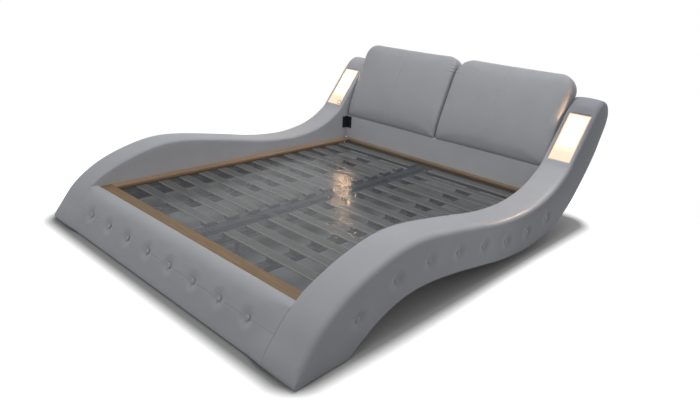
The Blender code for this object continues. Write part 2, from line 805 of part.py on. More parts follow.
def corner_brackets():
    """Black steel angles that tie the head panel to each rail, with their screw heads."""
    levels = (bracket_level + screw_spread_share * bracket_height,
              bracket_level + (1 - screw_spread_share) * bracket_height)
    wall = half_recess - gap
    face = bracket_plate + screw_head_height
    reach = screw_reach_share * bracket_leg
    for name, side in (("left", -1), ("right", 1)):
        plan = [(wall, recess_rear), (wall, recess_rear - bracket_leg),
                (wall - bracket_plate, recess_rear - bracket_leg),
                (wall - bracket_plate, recess_rear - bracket_plate),
                (wall - bracket_leg, recess_rear - bracket_plate), (wall - bracket_leg, recess_rear)]
        bracket = plate(name + "_corner_bracket", [(side * x, along) for x, along in plan],
                        bracket_level, bracket_level + bracket_height, black_steel, lying)
        screws = []
        for level in levels:
            along = front + recess_rear - reach
            screws.append(((side * (wall - bracket_plate / 2), along, level),
                           (side * (wall - face), along, level)))
            x = side * (wall - reach)
            along = front + recess_rear
            screws.append(((x, along - bracket_plate / 2, level), (x, along - face, level)))
        join(bracket, rods(name + "_screws", screws, screw_head_radius, None, sides=10))


for rail_name, rail_side in (("left", -1), ("right", 1)):
    side_rail(rail_name + "_rail", rail_side)
    lamp_shade, lamp_place, lamp_length = lamp(rail_name + "_lamp", rail_side)
    if rail_side < 0:
        lamp_switch(lamp_shade, lamp_place, lamp_length)
foot_panel()
platform_box()
slat_frames()
centre_support()
headboard()
corner_brackets()
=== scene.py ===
import math

import bmesh
import bpy
from mathutils import Matrix, Vector, noise


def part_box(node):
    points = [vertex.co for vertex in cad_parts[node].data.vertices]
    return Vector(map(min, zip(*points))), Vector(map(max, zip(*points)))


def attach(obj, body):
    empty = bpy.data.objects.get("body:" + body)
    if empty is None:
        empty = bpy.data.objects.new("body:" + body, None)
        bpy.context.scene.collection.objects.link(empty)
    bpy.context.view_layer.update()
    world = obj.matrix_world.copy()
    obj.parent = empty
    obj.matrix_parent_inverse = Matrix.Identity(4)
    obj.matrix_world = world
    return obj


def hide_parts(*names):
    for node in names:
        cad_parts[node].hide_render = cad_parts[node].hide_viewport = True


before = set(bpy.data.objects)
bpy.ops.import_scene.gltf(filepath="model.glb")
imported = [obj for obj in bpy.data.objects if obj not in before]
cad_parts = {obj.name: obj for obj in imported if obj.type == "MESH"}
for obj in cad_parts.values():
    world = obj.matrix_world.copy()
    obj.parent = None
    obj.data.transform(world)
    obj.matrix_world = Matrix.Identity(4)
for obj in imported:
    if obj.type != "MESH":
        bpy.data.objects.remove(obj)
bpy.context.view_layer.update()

# The bed stands on the floor with its middle at the origin, its foot end towards -Y.
# "along" is the distance from the foot end towards the head.
bed = {"length": 2.63, "front": -1.315, "halfRecess": 0.905, "ledgeTop": 0.215}
slatCount = 13  # on each side


def deselect():
    if bpy.context.mode != "OBJECT":
        bpy.ops.object.mode_set(mode="OBJECT")
    bpy.ops.object.select_all(action="DESELECT")


def named(name):  # names what an operator has just made
    piece = bpy.context.object
    piece.name = piece.data.name = name
    return piece


def addForm(name, kind, **values):  # a new primitive, the only thing selected
    deselect()
    getattr(bpy.ops.mesh, f"primitive_{kind}_add")(**values)
    return named(name)


def makeActive(piece):
    deselect()
    piece.select_set(True)
    bpy.context.view_layer.objects.active = piece


def placeOf(part):
    return part.co if isinstance(part, bmesh.types.BMVert) else sum(
        (vert.co for vert in part.verts), Vector()) / len(part.verts)


def choose(piece, kind, test=lambda place, part: True):  # selects what passes, in edit mode
    makeActive(piece)
    bpy.ops.object.mode_set(mode="EDIT")
    bpy.ops.mesh.select_mode(type=kind)
    bpy.ops.mesh.select_all(action="DESELECT")
    bm = bmesh.from_edit_mesh(piece.data)
    for part in {"VERT": bm.verts, "EDGE": bm.edges, "FACE": bm.faces}[kind]:
        if test(placeOf(part), part):
            part.select_set(True)
    bmesh.update_edit_mesh(piece.data)


def clean(piece, merge=0.0002):  # welds doubles, turns faces outwards, shades smooth
    choose(piece, "VERT")
    bpy.ops.mesh.remove_doubles(threshold=merge)
    bpy.ops.mesh.select_all(action="SELECT")
    bpy.ops.mesh.normals_make_consistent(inside=False)
    makeActive(piece)
    bpy.ops.object.shade_smooth()


def applyModifiers(piece):
    makeActive(piece)
    for modifier in list(piece.modifiers):
        bpy.ops.object.modifier_apply(modifier=modifier.name)


def finish(piece, material, body="bed_frame"):
    piece.data.materials.clear()
    piece.data.materials.append(material)
    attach(piece, body)
    return piece


def copyOf(piece, place):  # a copy with its own mesh, its place put into the mesh
    made = piece.copy()
    made.data = piece.data.copy()
    made.data.transform(place)
    bpy.context.scene.collection.objects.link(made)
    return made


def setOut(form, name, places):  # joins a form's copies into one piece, and removes the form
    copies = [copyOf(form, place) for place in places]
    bpy.data.objects.remove(form)
    deselect()
    for part in copies:
        part.select_set(True)
    bpy.context.view_layer.objects.active = copies[0]
    bpy.ops.object.join()
    return named(name)


def subdivideNear(piece, test, cuts):  # finer faces where the test passes
    choose(piece, "FACE", test)
    bpy.ops.mesh.subdivide(number_cuts=cuts)
    deselect()


def smoothLine(points, steps):  # Catmull-Rom through the points
    ends = [points[0], *points, points[-1]]
    made = []
    for a, b, c, d in zip(ends, ends[1:], ends[2:], ends[3:]):
        for step in range(steps):
            t = step / steps
            made.append(Vector([
                (2 * q + (r - p) * t + (2 * p - 5 * q + 4 * r - s) * t * t
                 + (3 * q - p - 3 * r + s) * t ** 3) / 2 for p, q, r, s in zip(a, b, c, d)]))
    made.append(Vector(points[-1]))
    return made


def lengthsOf(line):
    run = [0.0]
    for a, b in zip(line, line[1:]):
        run.append(run[-1] + (b - a).length)
    return run


def pointAt(line, run, distance):
    for index in range(1, len(run)):
        if distance <= run[index] or index == len(run) - 1:
            part = (distance - run[index - 1]) / max(run[index] - run[index - 1], 1e-9)
            return line[index - 1].lerp(line[index], max(0.0, min(1.0, part)))


def crossingAt(line, axis, value, start=0.0):  # where the line first passes a value after start
    run = lengthsOf(line)
    for index in range(1, len(line)):
        a, b = line[index - 1][axis], line[index][axis]
        if run[index - 1] >= start and min(a, b) <= value <= max(a, b) and a != b:
            return run[index - 1] + (run[index] - run[index - 1]) * (value - a) / (b - a)
    return run[-1]


def lineNormal(line, run, distance, flip=1):  # into the padding
    step = 0.012
    before = pointAt(line, run, max(distance - step, 0.0))
    after = pointAt(line, run, min(distance + step, run[-1]))
    way = (after - before).normalized()
    return Vector((way.y, -way.x)) * flip


def ease(value, low, high):  # 0 below low, 1 above high, smooth between
    t = max(0.0, min(1.0, (value - low) / (high - low)))
    return t * t * (3 - 2 * t)


def bell(value, width, power=2):  # 1 at zero, falling off over the width
    return math.exp(-(value / width) ** power)


def quarter(steps):  # the angles of a quarter turn
    return [step / steps * math.pi / 2 for step in range(steps + 1)]


def wrappedGrid(name, rows, columns, place):  # a grid laid over a form, point by point
    piece = addForm(name, "grid", x_subdivisions=rows, y_subdivisions=columns, size=2.0)
    cells = {}
    for vert in piece.data.vertices:
        row, column = round((vert.co.x + 1) / 2 * rows), round((vert.co.y + 1) / 2 * columns)
        cells[vert.index] = row, column
        vert.co = place(row, column)
    return piece, cells


def dropFaces(piece, cells, test):  # deletes the grid's cells that pass the test
    makeActive(piece)
    bpy.ops.object.mode_set(mode="EDIT")
    bpy.ops.mesh.select_mode(type="FACE")
    bpy.ops.mesh.select_all(action="DESELECT")
    bpy.ops.object.mode_set(mode="OBJECT")
    for face in piece.data.polygons:
        face.select = test(*(min(cells[index][axis] for index in face.vertices) for axis in (0, 1)))
    bpy.ops.object.mode_set(mode="EDIT")
    bpy.ops.mesh.delete(type="FACE")
    bpy.ops.object.mode_set(mode="OBJECT")


# Materials. Sizes in them are in metres, on Object coordinates.

def colourOf(value):  # an sRGB hex or a plain level to the linear colour that Blender takes
    if not isinstance(value, str):
        return (value, value, value, 1.0)
    made = []
    for start in (1, 3, 5):
        part = int(value[start:start + 2], 16) / 255
        made.append(part / 12.92 if part <= 0.04045 else ((part + 0.055) / 1.055) ** 2.4)
    return (*made, 1.0)


def addNode(tree, kind, inputs=None, **settings):  # gives the new node's first output
    node = tree.nodes.new("ShaderNode" + kind)
    for name, value in settings.items():
        setattr(node, name, value)
    for name, value in (inputs or {}).items():
        if isinstance(value, bpy.types.NodeSocket):
            tree.links.new(value, node.inputs[name])
        else:
            node.inputs[name].default_value = value
    return node.outputs[0] if node.outputs else None


def newMaterial(name):
    material = bpy.data.materials.new(name)
    material.use_nodes = True
    tree = material.node_tree
    tree.nodes.clear()
    return material, tree, addNode(tree, "TexCoord").node.outputs["Object"]


def noiseOf(tree, place, size, detail, roughness=0.5, distortion=0.0):
    return addNode(tree, "TexNoise", {
        "Vector": place, "Scale": 1 / size, "Detail": detail, "Roughness": roughness,
        "Distortion": distortion})


def stretched(tree, place, sizes):  # coordinates in which a grain of these sizes is 1 long each way
    return addNode(tree, "Mapping", {"Vector": place, "Scale": [1 / size for size in sizes]})


def cellsOf(tree, place, size, feature="F1", **inputs):
    return addNode(tree, "TexVoronoi", {"Vector": place, "Scale": 1 / size, **inputs}, feature=feature)


def bump(tree, height, strength, depth, under=None, invert=False):
    inputs = {"Height": height, "Strength": strength, "Distance": depth}
    if under is not None:
        inputs["Normal"] = under
    return addNode(tree, "Bump", inputs, invert=invert)


def ramp(tree, fac, *stops):
    made = addNode(tree, "ValToRGB", {"Fac": fac})
    elements = made.node.color_ramp.elements
    while len(elements) < len(stops):
        elements.new(0.5)
    for element, (position, value) in zip(elements, stops):
        element.position = position
        element.color = colourOf(value)
    return made


def maths(tree, operation, first, second=0.0, third=0.0):
    return addNode(tree, "Math", {0: first, 1: second, 2: third}, operation=operation)


def span(tree, value, low, high, toLow=0.0, toHigh=1.0, smooth=False):  # low may be above high
    if low > high:
        low, high, toLow, toHigh = high, low, toHigh, toLow
    return addNode(tree, "MapRange", {
        "Value": value, "From Min": low, "From Max": high, "To Min": toLow, "To Max": toHigh},
        interpolation_type="SMOOTHSTEP" if smooth else "LINEAR")


def mixed(tree, share, first, second, blend="MIX"):
    return addNode(tree, "Mix", {"Factor": share, "A": first, "B": second},
                   data_type="RGBA", blend_type=blend).node.outputs["Result"]


def partsOf(tree, vector):
    return addNode(tree, "SeparateXYZ", {"Vector": vector}).node.outputs


def lengthOf(tree, vector):
    return addNode(tree, "VectorMath", {0: vector}, operation="LENGTH").node.outputs["Value"]


def surface(tree, colour, roughness, normal=None, more=None):
    inputs = {"Base Color": colour, "Roughness": roughness, **(more or {})}
    if normal is not None:
        inputs["Normal"] = normal
    addNode(tree, "OutputMaterial", {"Surface": addNode(tree, "BsdfPrincipled", inputs)})


# A hide with painted shade, darker on the outside and on the column, and glossier along the outer edge.
def paintShadeAndGloss(tree, place, shadeAndGloss, colour, gloss, shine):
    parts = partsOf(tree, place)

    def share(axis, stretch):
        return span(tree, parts[axis], *shadeAndGloss[stretch], smooth=True)

    # painted shade: darker on the outer side towards the head, and on the column
    outside = maths(tree, "MULTIPLY", share("X", "side"), share("Y", "rear"))
    dark = maths(tree, "MAXIMUM", outside, share("Z", "column"))
    edge = maths(tree, "MULTIPLY", share("X", "edgeIn"), share("X", "edgeOut"))
    run = maths(tree, "MULTIPLY", share("Y", "runIn"), share("Y", "runOut"))
    polish = maths(tree, "MULTIPLY", edge, run)
    return (mixed(tree, dark, colour, shadeAndGloss["shade"], "MULTIPLY"),
            mixed(tree, polish, gloss, colourOf(shadeAndGloss["polish"])),
            maths(tree, "MULTIPLY_ADD", polish, shadeAndGloss["shine"], shine))


# Corrected-grain cow leather over foam: satin, a fine pebble, soft slow waves where it is
# pulled over the padding. The real pebble is under 1 mm; it is drawn at 3 mm so that it shows.
def leatherMaterial(name, light, dark, shadeAndGloss=None):
    material, tree, place = newMaterial(name)
    tone = noiseOf(tree, place, 0.16, 3.0)
    crease = noiseOf(tree, place, 0.022, 4.0, 0.6, 0.6)
    wave = noiseOf(tree, place, 0.11, 1.5, 0.45)
    pebble = cellsOf(tree, place, 0.003, "SMOOTH_F1", Smoothness=0.35, Randomness=0.9)
    slow = bump(tree, wave, 0.25, 0.003)
    middle = bump(tree, crease, 0.15, 0.0010, slow)
    fine = bump(tree, pebble, 0.16, 0.0006, middle, invert=True)
    colour = ramp(tree, tone, (0.25, dark), (0.75, light))
    gloss, shine = ramp(tree, crease, (0.25, 0.46), (0.75, 0.56)), 0.17
    # painted shade and a glossier edge, where given
    if shadeAndGloss:
        colour, gloss, shine = paintShadeAndGloss(tree, place, shadeAndGloss, colour, gloss, shine)
    surface(tree, colour, gloss, fine, {
        "Specular IOR Level": shine, "Sheen Weight": 0.02, "Sheen Roughness": 0.45})
    return material


# Bonded polyester upholstery thread, twisted: a little shinier and paler than the leather.
def threadMaterial():
    material, tree, place = newMaterial("polyesterThread")
    twist = addNode(tree, "TexWave", {"Vector": place, "Scale": 1 / 0.0015, "Distortion": 0.3},
                    wave_type="BANDS", bands_direction="DIAGONAL").node.outputs["Fac"]
    surface(tree, ramp(tree, twist, (0.0, "#8f9093"), (1.0, "#b0b1b3")), 0.45,
            more={"Sheen Weight": 0.2})
    return material


# Long grain in three tones, under slow patches of darker tone. Gives the colour, with the grain in it.
def woodColour(tree, grain, stops, patch, shade):
    wood = ramp(tree, grain, *stops)
    return mixed(tree, 1.0, wood, ramp(tree, patch, (0.3, shade), (0.7, 1.0)), "MULTIPLY")


# Raw birch or poplar plywood, sanded: long soft grain, small dark flecks, no gloss.
def plywoodMaterial(name, sizes, tones):
    material, tree, place = newMaterial(name)
    grain = noiseOf(tree, stretched(tree, place, sizes), 1.0, 5.0, 0.6, 0.8)
    stops = [(0.25 * index, tone) for index, tone in enumerate(tones, 1)]
    colour = woodColour(tree, grain, stops, noiseOf(tree, place, 0.35, 2.0), 0.82)
    surface(tree, colour, 0.62, bump(tree, grain, 0.25, 0.0005))
    return material


# a painted highlight along a slat's long edges
slatEdgeHighlight = {"colour": "#bfbaa7", "from": 0.0065, "to": 0.0045}  # in from a slat's long edges


# Bentwood slat: birch veneers under grey-toned foil, satin, grain along the slat, and a painted highlight
# along its long edges.
def slatMaterial():
    material, tree, place = newMaterial("foiledBirchSlat")
    grain = noiseOf(tree, stretched(tree, place, (0.30, 0.006, 0.006)), 1.0, 5.0, 0.62, 0.5)
    stops = [(0.25, "#67645f"), (0.55, "#75716b"), (0.80, "#827d76")]
    colour = woodColour(tree, grain, stops, noiseOf(tree, place, 0.4, 1.0), 0.90)
    first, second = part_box("left_slat_01"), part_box("left_slat_02")
    pitch = float(second[0][1] - first[0][1])
    middle, half = float(first[0][1] + first[1][1]) / 2, float(first[1][1] - first[0][1]) / 2
    fromMiddle = maths(tree, "SUBTRACT", partsOf(tree, place)["Y"], middle)
    away = maths(tree, "PINGPONG", fromMiddle, pitch / 2)
    # painted highlight: a pale line along each long edge
    edge = span(tree, away, half - slatEdgeHighlight["from"], half - slatEdgeHighlight["to"])
    surface(tree, mixed(tree, edge, colour, colourOf(slatEdgeHighlight["colour"])), 0.42,
            bump(tree, grain, 0.2, 0.0003))
    return material


# Powder-coated steel: near black with a blue cast, a fine orange peel in the gloss.
def powderCoatMaterial(name, dark, light):
    material, tree, place = newMaterial(name)
    peel, dust = noiseOf(tree, place, 0.004, 2.0), noiseOf(tree, place, 0.09, 3.0)
    surface(tree, ramp(tree, dust, (0.35, dark), (0.75, light)),
            ramp(tree, dust, (0.3, 0.38), (0.7, 0.52)), bump(tree, peel, 0.15, 0.0004))
    return material


# Galvanised steel, dulled: cool grey, part metal and part oxide, fine drawn lines, faint spangle.
def zincMaterial():
    material, tree, place = newMaterial("zincPlatedSteel")
    lines = noiseOf(tree, stretched(tree, place, (0.002, 0.2, 0.002)), 1.0, 3.0)
    surface(tree, ramp(tree, cellsOf(tree, place, 0.018), (0.0, "#a9acaf"), (1.0, "#c2c5c8")),
            ramp(tree, lines, (0.3, 0.42), (0.7, 0.56)), more={"Metallic": 0.35})
    return material


# Moulded polypropylene: spark-eroded texture, a dull even sheen. A glow, where given, is painted lamp light.
def mouldedMaterial(name, dark, light, glow=0.0):
    material, tree, place = newMaterial(name)
    spark = noiseOf(tree, place, 0.0015, 2.0)
    colour = ramp(tree, noiseOf(tree, place, 0.05, 2.0), (0.3, dark), (0.7, light))
    surface(tree, colour, 0.5, bump(tree, spark, 0.2, 0.0003), {
        "Emission Color": colour, "Emission Strength": glow})
    return material


# Spun-bonded dust cloth: black, matt, a dimpled bond pattern every 3 mm.
def nonWovenMaterial():
    material, tree, place = newMaterial("spunbondDustCloth")
    dimple = cellsOf(tree, place, 0.003, Randomness=0.15)
    fibre = noiseOf(tree, place, 0.002, 3.0)
    surface(tree, ramp(tree, fibre, (0.3, "#161618"), (0.7, "#26262a")), 0.9,
            bump(tree, dimple, 0.3, 0.0005))
    return material


# White solder-masked circuit board with darker tracks.
def boardMaterial():
    material, tree, place = newMaterial("whiteCircuitBoard")
    tracks = addNode(tree, "TexBrick", {
        "Vector": place, "Scale": 1 / 0.03, "Color1": colourOf("#e6e6e0"),
        "Color2": colourOf("#dededa"), "Mortar": colourOf("#b9b9ae")})
    surface(tree, tracks, 0.4)
    return material


lampLight = {
    "strength": 86.0, "middle": "#ffc896", "edge": "#ffe9cb", "edgeShare": 0.0106, "unlit": "#756b5e",
    "gloss": 0.35, "edgeWidth": 0.034, "lowWidth": 0.26, "falloff": 5.6, "rim": "#f0b98c",
    "rimWidth": 0.0060,
}


# Opal acrylic, lit warm from behind: brightest along the middle, tan towards its edges.
def opalMaterial(name, turn, half):
    material, tree, place = newMaterial(name)
    turned = addNode(tree, "Mapping", {
        "Vector": place, "Location": turn.translation, "Rotation": turn.to_euler()}, vector_type="TEXTURE")
    parts = partsOf(tree, turned)
    edge = maths(tree, "MINIMUM", *(
        maths(tree, "SUBTRACT", reach, maths(tree, "ABSOLUTE", parts[axis]))
        for axis, reach in zip("XY", half)))
    across = span(tree, edge, 0.0, lampLight["edgeWidth"])
    lowEnd = span(tree, parts["Y"], -half[1], lampLight["lowWidth"] - half[1])
    slope = maths(tree, "POWER", maths(tree, "MINIMUM", across, lowEnd), lampLight["falloff"])
    even = span(tree, noiseOf(tree, place, 0.05, 1.0), 0.0, 1.0, 0.92, 1.0)
    glow = ramp(tree, slope, (0.0, lampLight["edge"]), (1.0, lampLight["middle"]))
    level = span(tree, slope, 0.0, 1.0, lampLight["edgeShare"] * lampLight["strength"],
                 lampLight["strength"])
    rim = span(tree, edge, 0.0, lampLight["rimWidth"])
    surface(tree, colourOf(lampLight["unlit"]), lampLight["gloss"], more={
        "Emission Color": mixed(tree, rim, colourOf(lampLight["rim"]), glow),
        "Emission Strength": maths(tree, "MULTIPLY", level, even)})
    return material


# Clear polyethylene film, laid loose: a thin grey veil, sharp crinkles in the highlights.
def filmMaterial():
    material, tree, place = newMaterial("clearPolyethyleneFilm")
    crinkle = cellsOf(tree, place, 0.028, "DISTANCE_TO_EDGE", Randomness=1.0)
    fold = noiseOf(tree, place, 0.050, 3.0, 0.5, 1.5)
    sharp = bump(tree, crinkle, 0.2, 0.0025, bump(tree, fold, 0.6, 0.0045))
    clear = addNode(tree, "BsdfTransparent", {"Color": colourOf("#e4e7ea")})
    veil = addNode(tree, "BsdfDiffuse", {"Color": colourOf("#9a9da3")})
    hazy = addNode(tree, "MixShader", {"Fac": 0.14, 1: clear, 2: veil})
    gloss = addNode(tree, "BsdfGlossy", {
        "Color": colourOf("#f4f5f6"), "Roughness": 0.092, "Normal": sharp})
    fresnel = addNode(tree, "Fresnel", {"IOR": 1.5, "Normal": sharp})
    mirror = maths(tree, "MULTIPLY", fresnel, 0.66)
    whole = addNode(tree, "MixShader", {"Fac": mirror, 1: hazy, 2: gloss})
    addNode(tree, "OutputMaterial", {"Surface": whole})
    return material


# The right rail's hide, with painted shade and a glossier outer edge. Each stretch goes from none to full,
# along X, Y or Z.
railPaintedShadeAndGloss = {
    "side": (1.088, 1.102), "rear": (-0.10, 0.50), "column": (0.50, 0.72),
    "shade": (0.71, 0.71, 0.74, 1.0),
    "edgeIn": (1.056, 1.080), "edgeOut": (1.104, 1.098), "runIn": (-0.10, 0.25), "runOut": (0.86, 0.64),
    "polish": 0.35, "shine": 0.55,
}
alongX, alongY = (0.25, 0.009, 0.009), (0.009, 0.25, 0.009)  # sizes of the plywood's grain

leather = leatherMaterial("satinGrainLeather", "#b3b5ba", "#aeb0b5")
# the right rail's leather, with painted shade on its outer side and column
rightLeatherWithPaintedShade = leatherMaterial("paintedShadeGrainLeather", "#b3b5ba", "#aeb0b5", railPaintedShadeAndGloss)
# a lighter copy of the leather for the head panel in the recess: painted light
headPanelLeatherPaintedLight = leatherMaterial("paintedLightGrainLeather", "#c2c4c9", "#bdbfc4")
# a darker copy of the leather for the cushions: painted shade
cushionLeatherPaintedShade = leatherMaterial("paintedShadeSoftLeather", "#adaeb3", "#a8a9ad")
thread = threadMaterial()
plyAcross = plywoodMaterial("sandedPlywoodAcross", alongX, ("#695336", "#7d6547", "#8e7657"))
# a lighter copy of plyAcross for the rear ledge: painted light
plyRearPaintedLight = plywoodMaterial("sandedPlywoodRearPaintedLight", alongX, ("#766350", "#8d7860", "#9f8a70"))
plyAlong = plywoodMaterial("sandedPlywoodAlong", alongY, ("#836a51", "#9b7f64", "#ac9076"))
slatWood = slatMaterial()
blackSteel = powderCoatMaterial("powderCoatedSteel", "#17181b", "#26282c")
tubeSteel = powderCoatMaterial("powderCoatedTube", "#383b42", "#3f4249")
zinc = zincMaterial()
blackPlastic = mouldedMaterial("mouldedPolypropylene", "#131314", "#1f1f21")
# the lamp switch's button and ring glow with painted lamp light
glowingIvoryPlastic = mouldedMaterial("paintedGlowIvoryUrea", "#e6d3b4", "#efe0c6", 0.75)
glowingTanBezel = mouldedMaterial("paintedGlowTanBezel", "#d39a68", "#dca877", 0.55)
capPlastic = mouldedMaterial("mouldedCapPolypropylene", "#3b3e45", "#4a4d54")
dustCloth = nonWovenMaterial()
circuit = boardMaterial()
film = filmMaterial()
print("materials made")

# The CAD nodes that stay. A name that starts with a dash is on both sides.
nodeFinish = [
    (plyAcross, ["front_ledge", "foot_panel_carcass", "headboard_carcass"]),
    (plyRearPaintedLight, ["rear_ledge"]),
    (plyAlong, ["-ledge", "-rail_carcass"]),
    (slatWood, [f"-slat_{index:02d}" for index in range(1, slatCount + 1)]),
    (blackSteel, ["-corner_bracket"]),
    (tubeSteel, ["-slat_frame"]),
    (zinc, ["centre_beam", "lamp_switch_body"]),
    (blackPlastic, ["-rail_rear_foot", "-rail_front_glide", "-lamp_housing"]),
    (glowingIvoryPlastic, ["lamp_switch_button"]),
    (dustCloth, ["-rail_dust_cloth"]),
    (circuit, ["-lamp_led_board"]),
]


def paint(node, material):
    for slot in bpy.data.objects[node].material_slots:
        slot.material = material


for material, nodes in nodeFinish:
    for node in nodes:
        for side in ("left_", "right_") if node[0] == "-" else ("",):
            paint(side + node.lstrip("-"), material)
print("CAD nodes finished")

# The side rails, in shares of the bed's length and of the rail's height.
rail = {
    "width": 0.20, "height": 0.835,
    "topShares": [
        (0.000, 0.024), (0.008, 0.078), (0.025, 0.150), (0.045, 0.228), (0.072, 0.302),
        (0.106, 0.369), (0.144, 0.422), (0.186, 0.463), (0.228, 0.492), (0.270, 0.501),
        (0.319, 0.490), (0.380, 0.462), (0.456, 0.422), (0.529, 0.382), (0.589, 0.363),
        (0.654, 0.359), (0.711, 0.381), (0.745, 0.407), (0.779, 0.448), (0.810, 0.504),
        (0.826, 0.539), (0.838, 0.580), (0.865, 0.687), (0.893, 0.798), (0.920, 0.905),
        (0.941, 0.973), (0.960, 1.000)],
    "backShares": [
        (0.960, 1.000), (0.979, 0.986), (0.993, 0.940), (1.000, 0.880), (0.997, 0.814),
        (0.989, 0.757), (0.977, 0.685), (0.962, 0.595), (0.935, 0.481), (0.907, 0.377),
        (0.875, 0.281), (0.844, 0.216), (0.817, 0.165), (0.787, 0.126), (0.745, 0.093),
        (0.703, 0.074), (0.662, 0.067), (0.616, 0.072), (0.563, 0.087), (0.517, 0.109),
        (0.464, 0.138), (0.413, 0.166), (0.365, 0.188), (0.323, 0.202), (0.281, 0.208),
        (0.242, 0.198), (0.205, 0.169), (0.175, 0.132), (0.152, 0.091), (0.133, 0.054),
        (0.118, 0.022), (0.110, 0.005)],
    "toe": (0.0079, 0.004), "lineSteps": 8, "stations": 232,
    "innerRadius": 0.015, "noseRadius": 0.004, "outerRadius": 0.0245, "underRadius": 0.008,
    "hem": 0.0122, "hemRise": 0.006, "hemTurn": 0.0005,
    "crown": 0.004, "pillow": 0.003, "headCrown": 0.005, "headRadius": 0.010, "headReach": 0.06,
    "toeReach": 0.09, "toeSize": 0.08, "besideFoot": (0.20, 0.32), "backShare": (0.70, 0.80),
    "flatBefore": (0.09, 0.01), "flatAfter": (0.01, 0.05),
    "outerCells": 20, "innerCells": 8, "cornerCells": 4, "middleCells": 5,
    "closedFrom": 0.778, "toeHem": 0.03, "lowestShare": 0.66,
}
lampPlace = {"width": 0.145, "lowShare": 0.5832, "highShare": 0.8982, "clearance": 0.0008, "wall": 0.007}
tuft = {
    "first": 0.335, "pitch": 0.231, "count": 8, "level": 0.47,
    "reach": 0.072, "depth": 0.0130, "radius": 0.027, "creaseDepth": 0.0014, "creaseWidth": 0.004,
    "foldLength": 0.030, "pleatAt": 0.024, "pleatWidth": 0.014, "puffAt": 0.058, "puffWidth": 0.022,
    "swell": 0.0016, "railShare": 0.72, "buttonRadius": 0.0140, "buttonHeight": 0.0045,
    "seat": 0.0004, "cuts": 3, "skin": 0.008, "margin": 0.03,
}

upperLine, lowerLine = ([Vector(rail["toe"])] + smoothLine(
    [(s * bed["length"], z * rail["height"]) for s, z in rail[shares]], rail["lineSteps"])[::way]
    for shares, way in (("topShares", 1), ("backShares", -1)))
upperRun, lowerRun = lengthsOf(upperLine), lengthsOf(lowerLine)
upperStops, lowerStops = ([run[-1] * index / rail["stations"] for index in range(rail["stations"] + 1)]
                          for run in (upperRun, lowerRun))

dip = crossingAt(upperLine, 0, rail["lowestShare"] * bed["length"])
lampEnds = [crossingAt(upperLine, 1, lampPlace[share] * rail["height"], dip)
            for share in ("lowShare", "highShare")]
lampPoints = [pointAt(upperLine, upperRun, distance) for distance in lampEnds]
lampRun = lampPoints[1] - lampPoints[0]
lampClimb = Vector((0.0, lampRun.x, lampRun.y)).normalized()
lampOut = Vector((1.0, 0.0, 0.0)).cross(lampClimb)
lampStations = []
for end, grow in zip(lampEnds, (-lampPlace["clearance"], lampPlace["clearance"])):
    nearest = min(range(rail["stations"] + 1), key=lambda index: abs(upperStops[index] - end))
    upperStops[nearest] = end + grow
    lampStations.append(nearest)


def onLamp(centre):  # X across the lamp, Y up along it, Z out of it
    turn = Matrix((Vector((1, 0, 0)), lampClimb, lampOut)).transposed().to_4x4()
    turn.translation = centre
    return turn


def heightAt(line, along):
    for a, b in zip(line, line[1:]):
        if min(a.x, b.x) <= along <= max(a.x, b.x) and a.x != b.x:
            return a.y + (b.y - a.y) * (along - a.x) / (b.x - a.x)


def bandPoints(inner, outer, crown):  # points across the rail, and how deep each lies
    width, middle = rail["width"], rail["middleCells"]
    edge = width / 2 - lampPlace["width"] / 2 - lampPlace["clearance"]
    turns = quarter(rail["cornerCells"])
    points = [(inner - inner * math.cos(turn), inner - inner * math.sin(turn)) for turn in turns]
    points += [(edge + (width - 2 * edge) * step / middle, 0.0) for step in range(middle + 1)]
    points += [(width - outer + outer * math.cos(turn), outer - outer * math.sin(turn))
               for turn in turns[::-1]]
    # only the flat part is crowned
    return [(across, deep - crown * (1 - (2 * across / width - 1) ** 2) * (1 if deep < 0.001 else 0))
            for across, deep in points]


def isOpen(row):  # whether the leather is open below here, where the dust cloth is
    share = pointAt(lowerLine, lowerRun, lowerStops[row]).x / bed["length"]
    return lowerStops[row] >= rail["toeHem"] and share <= rail["closedFrom"]


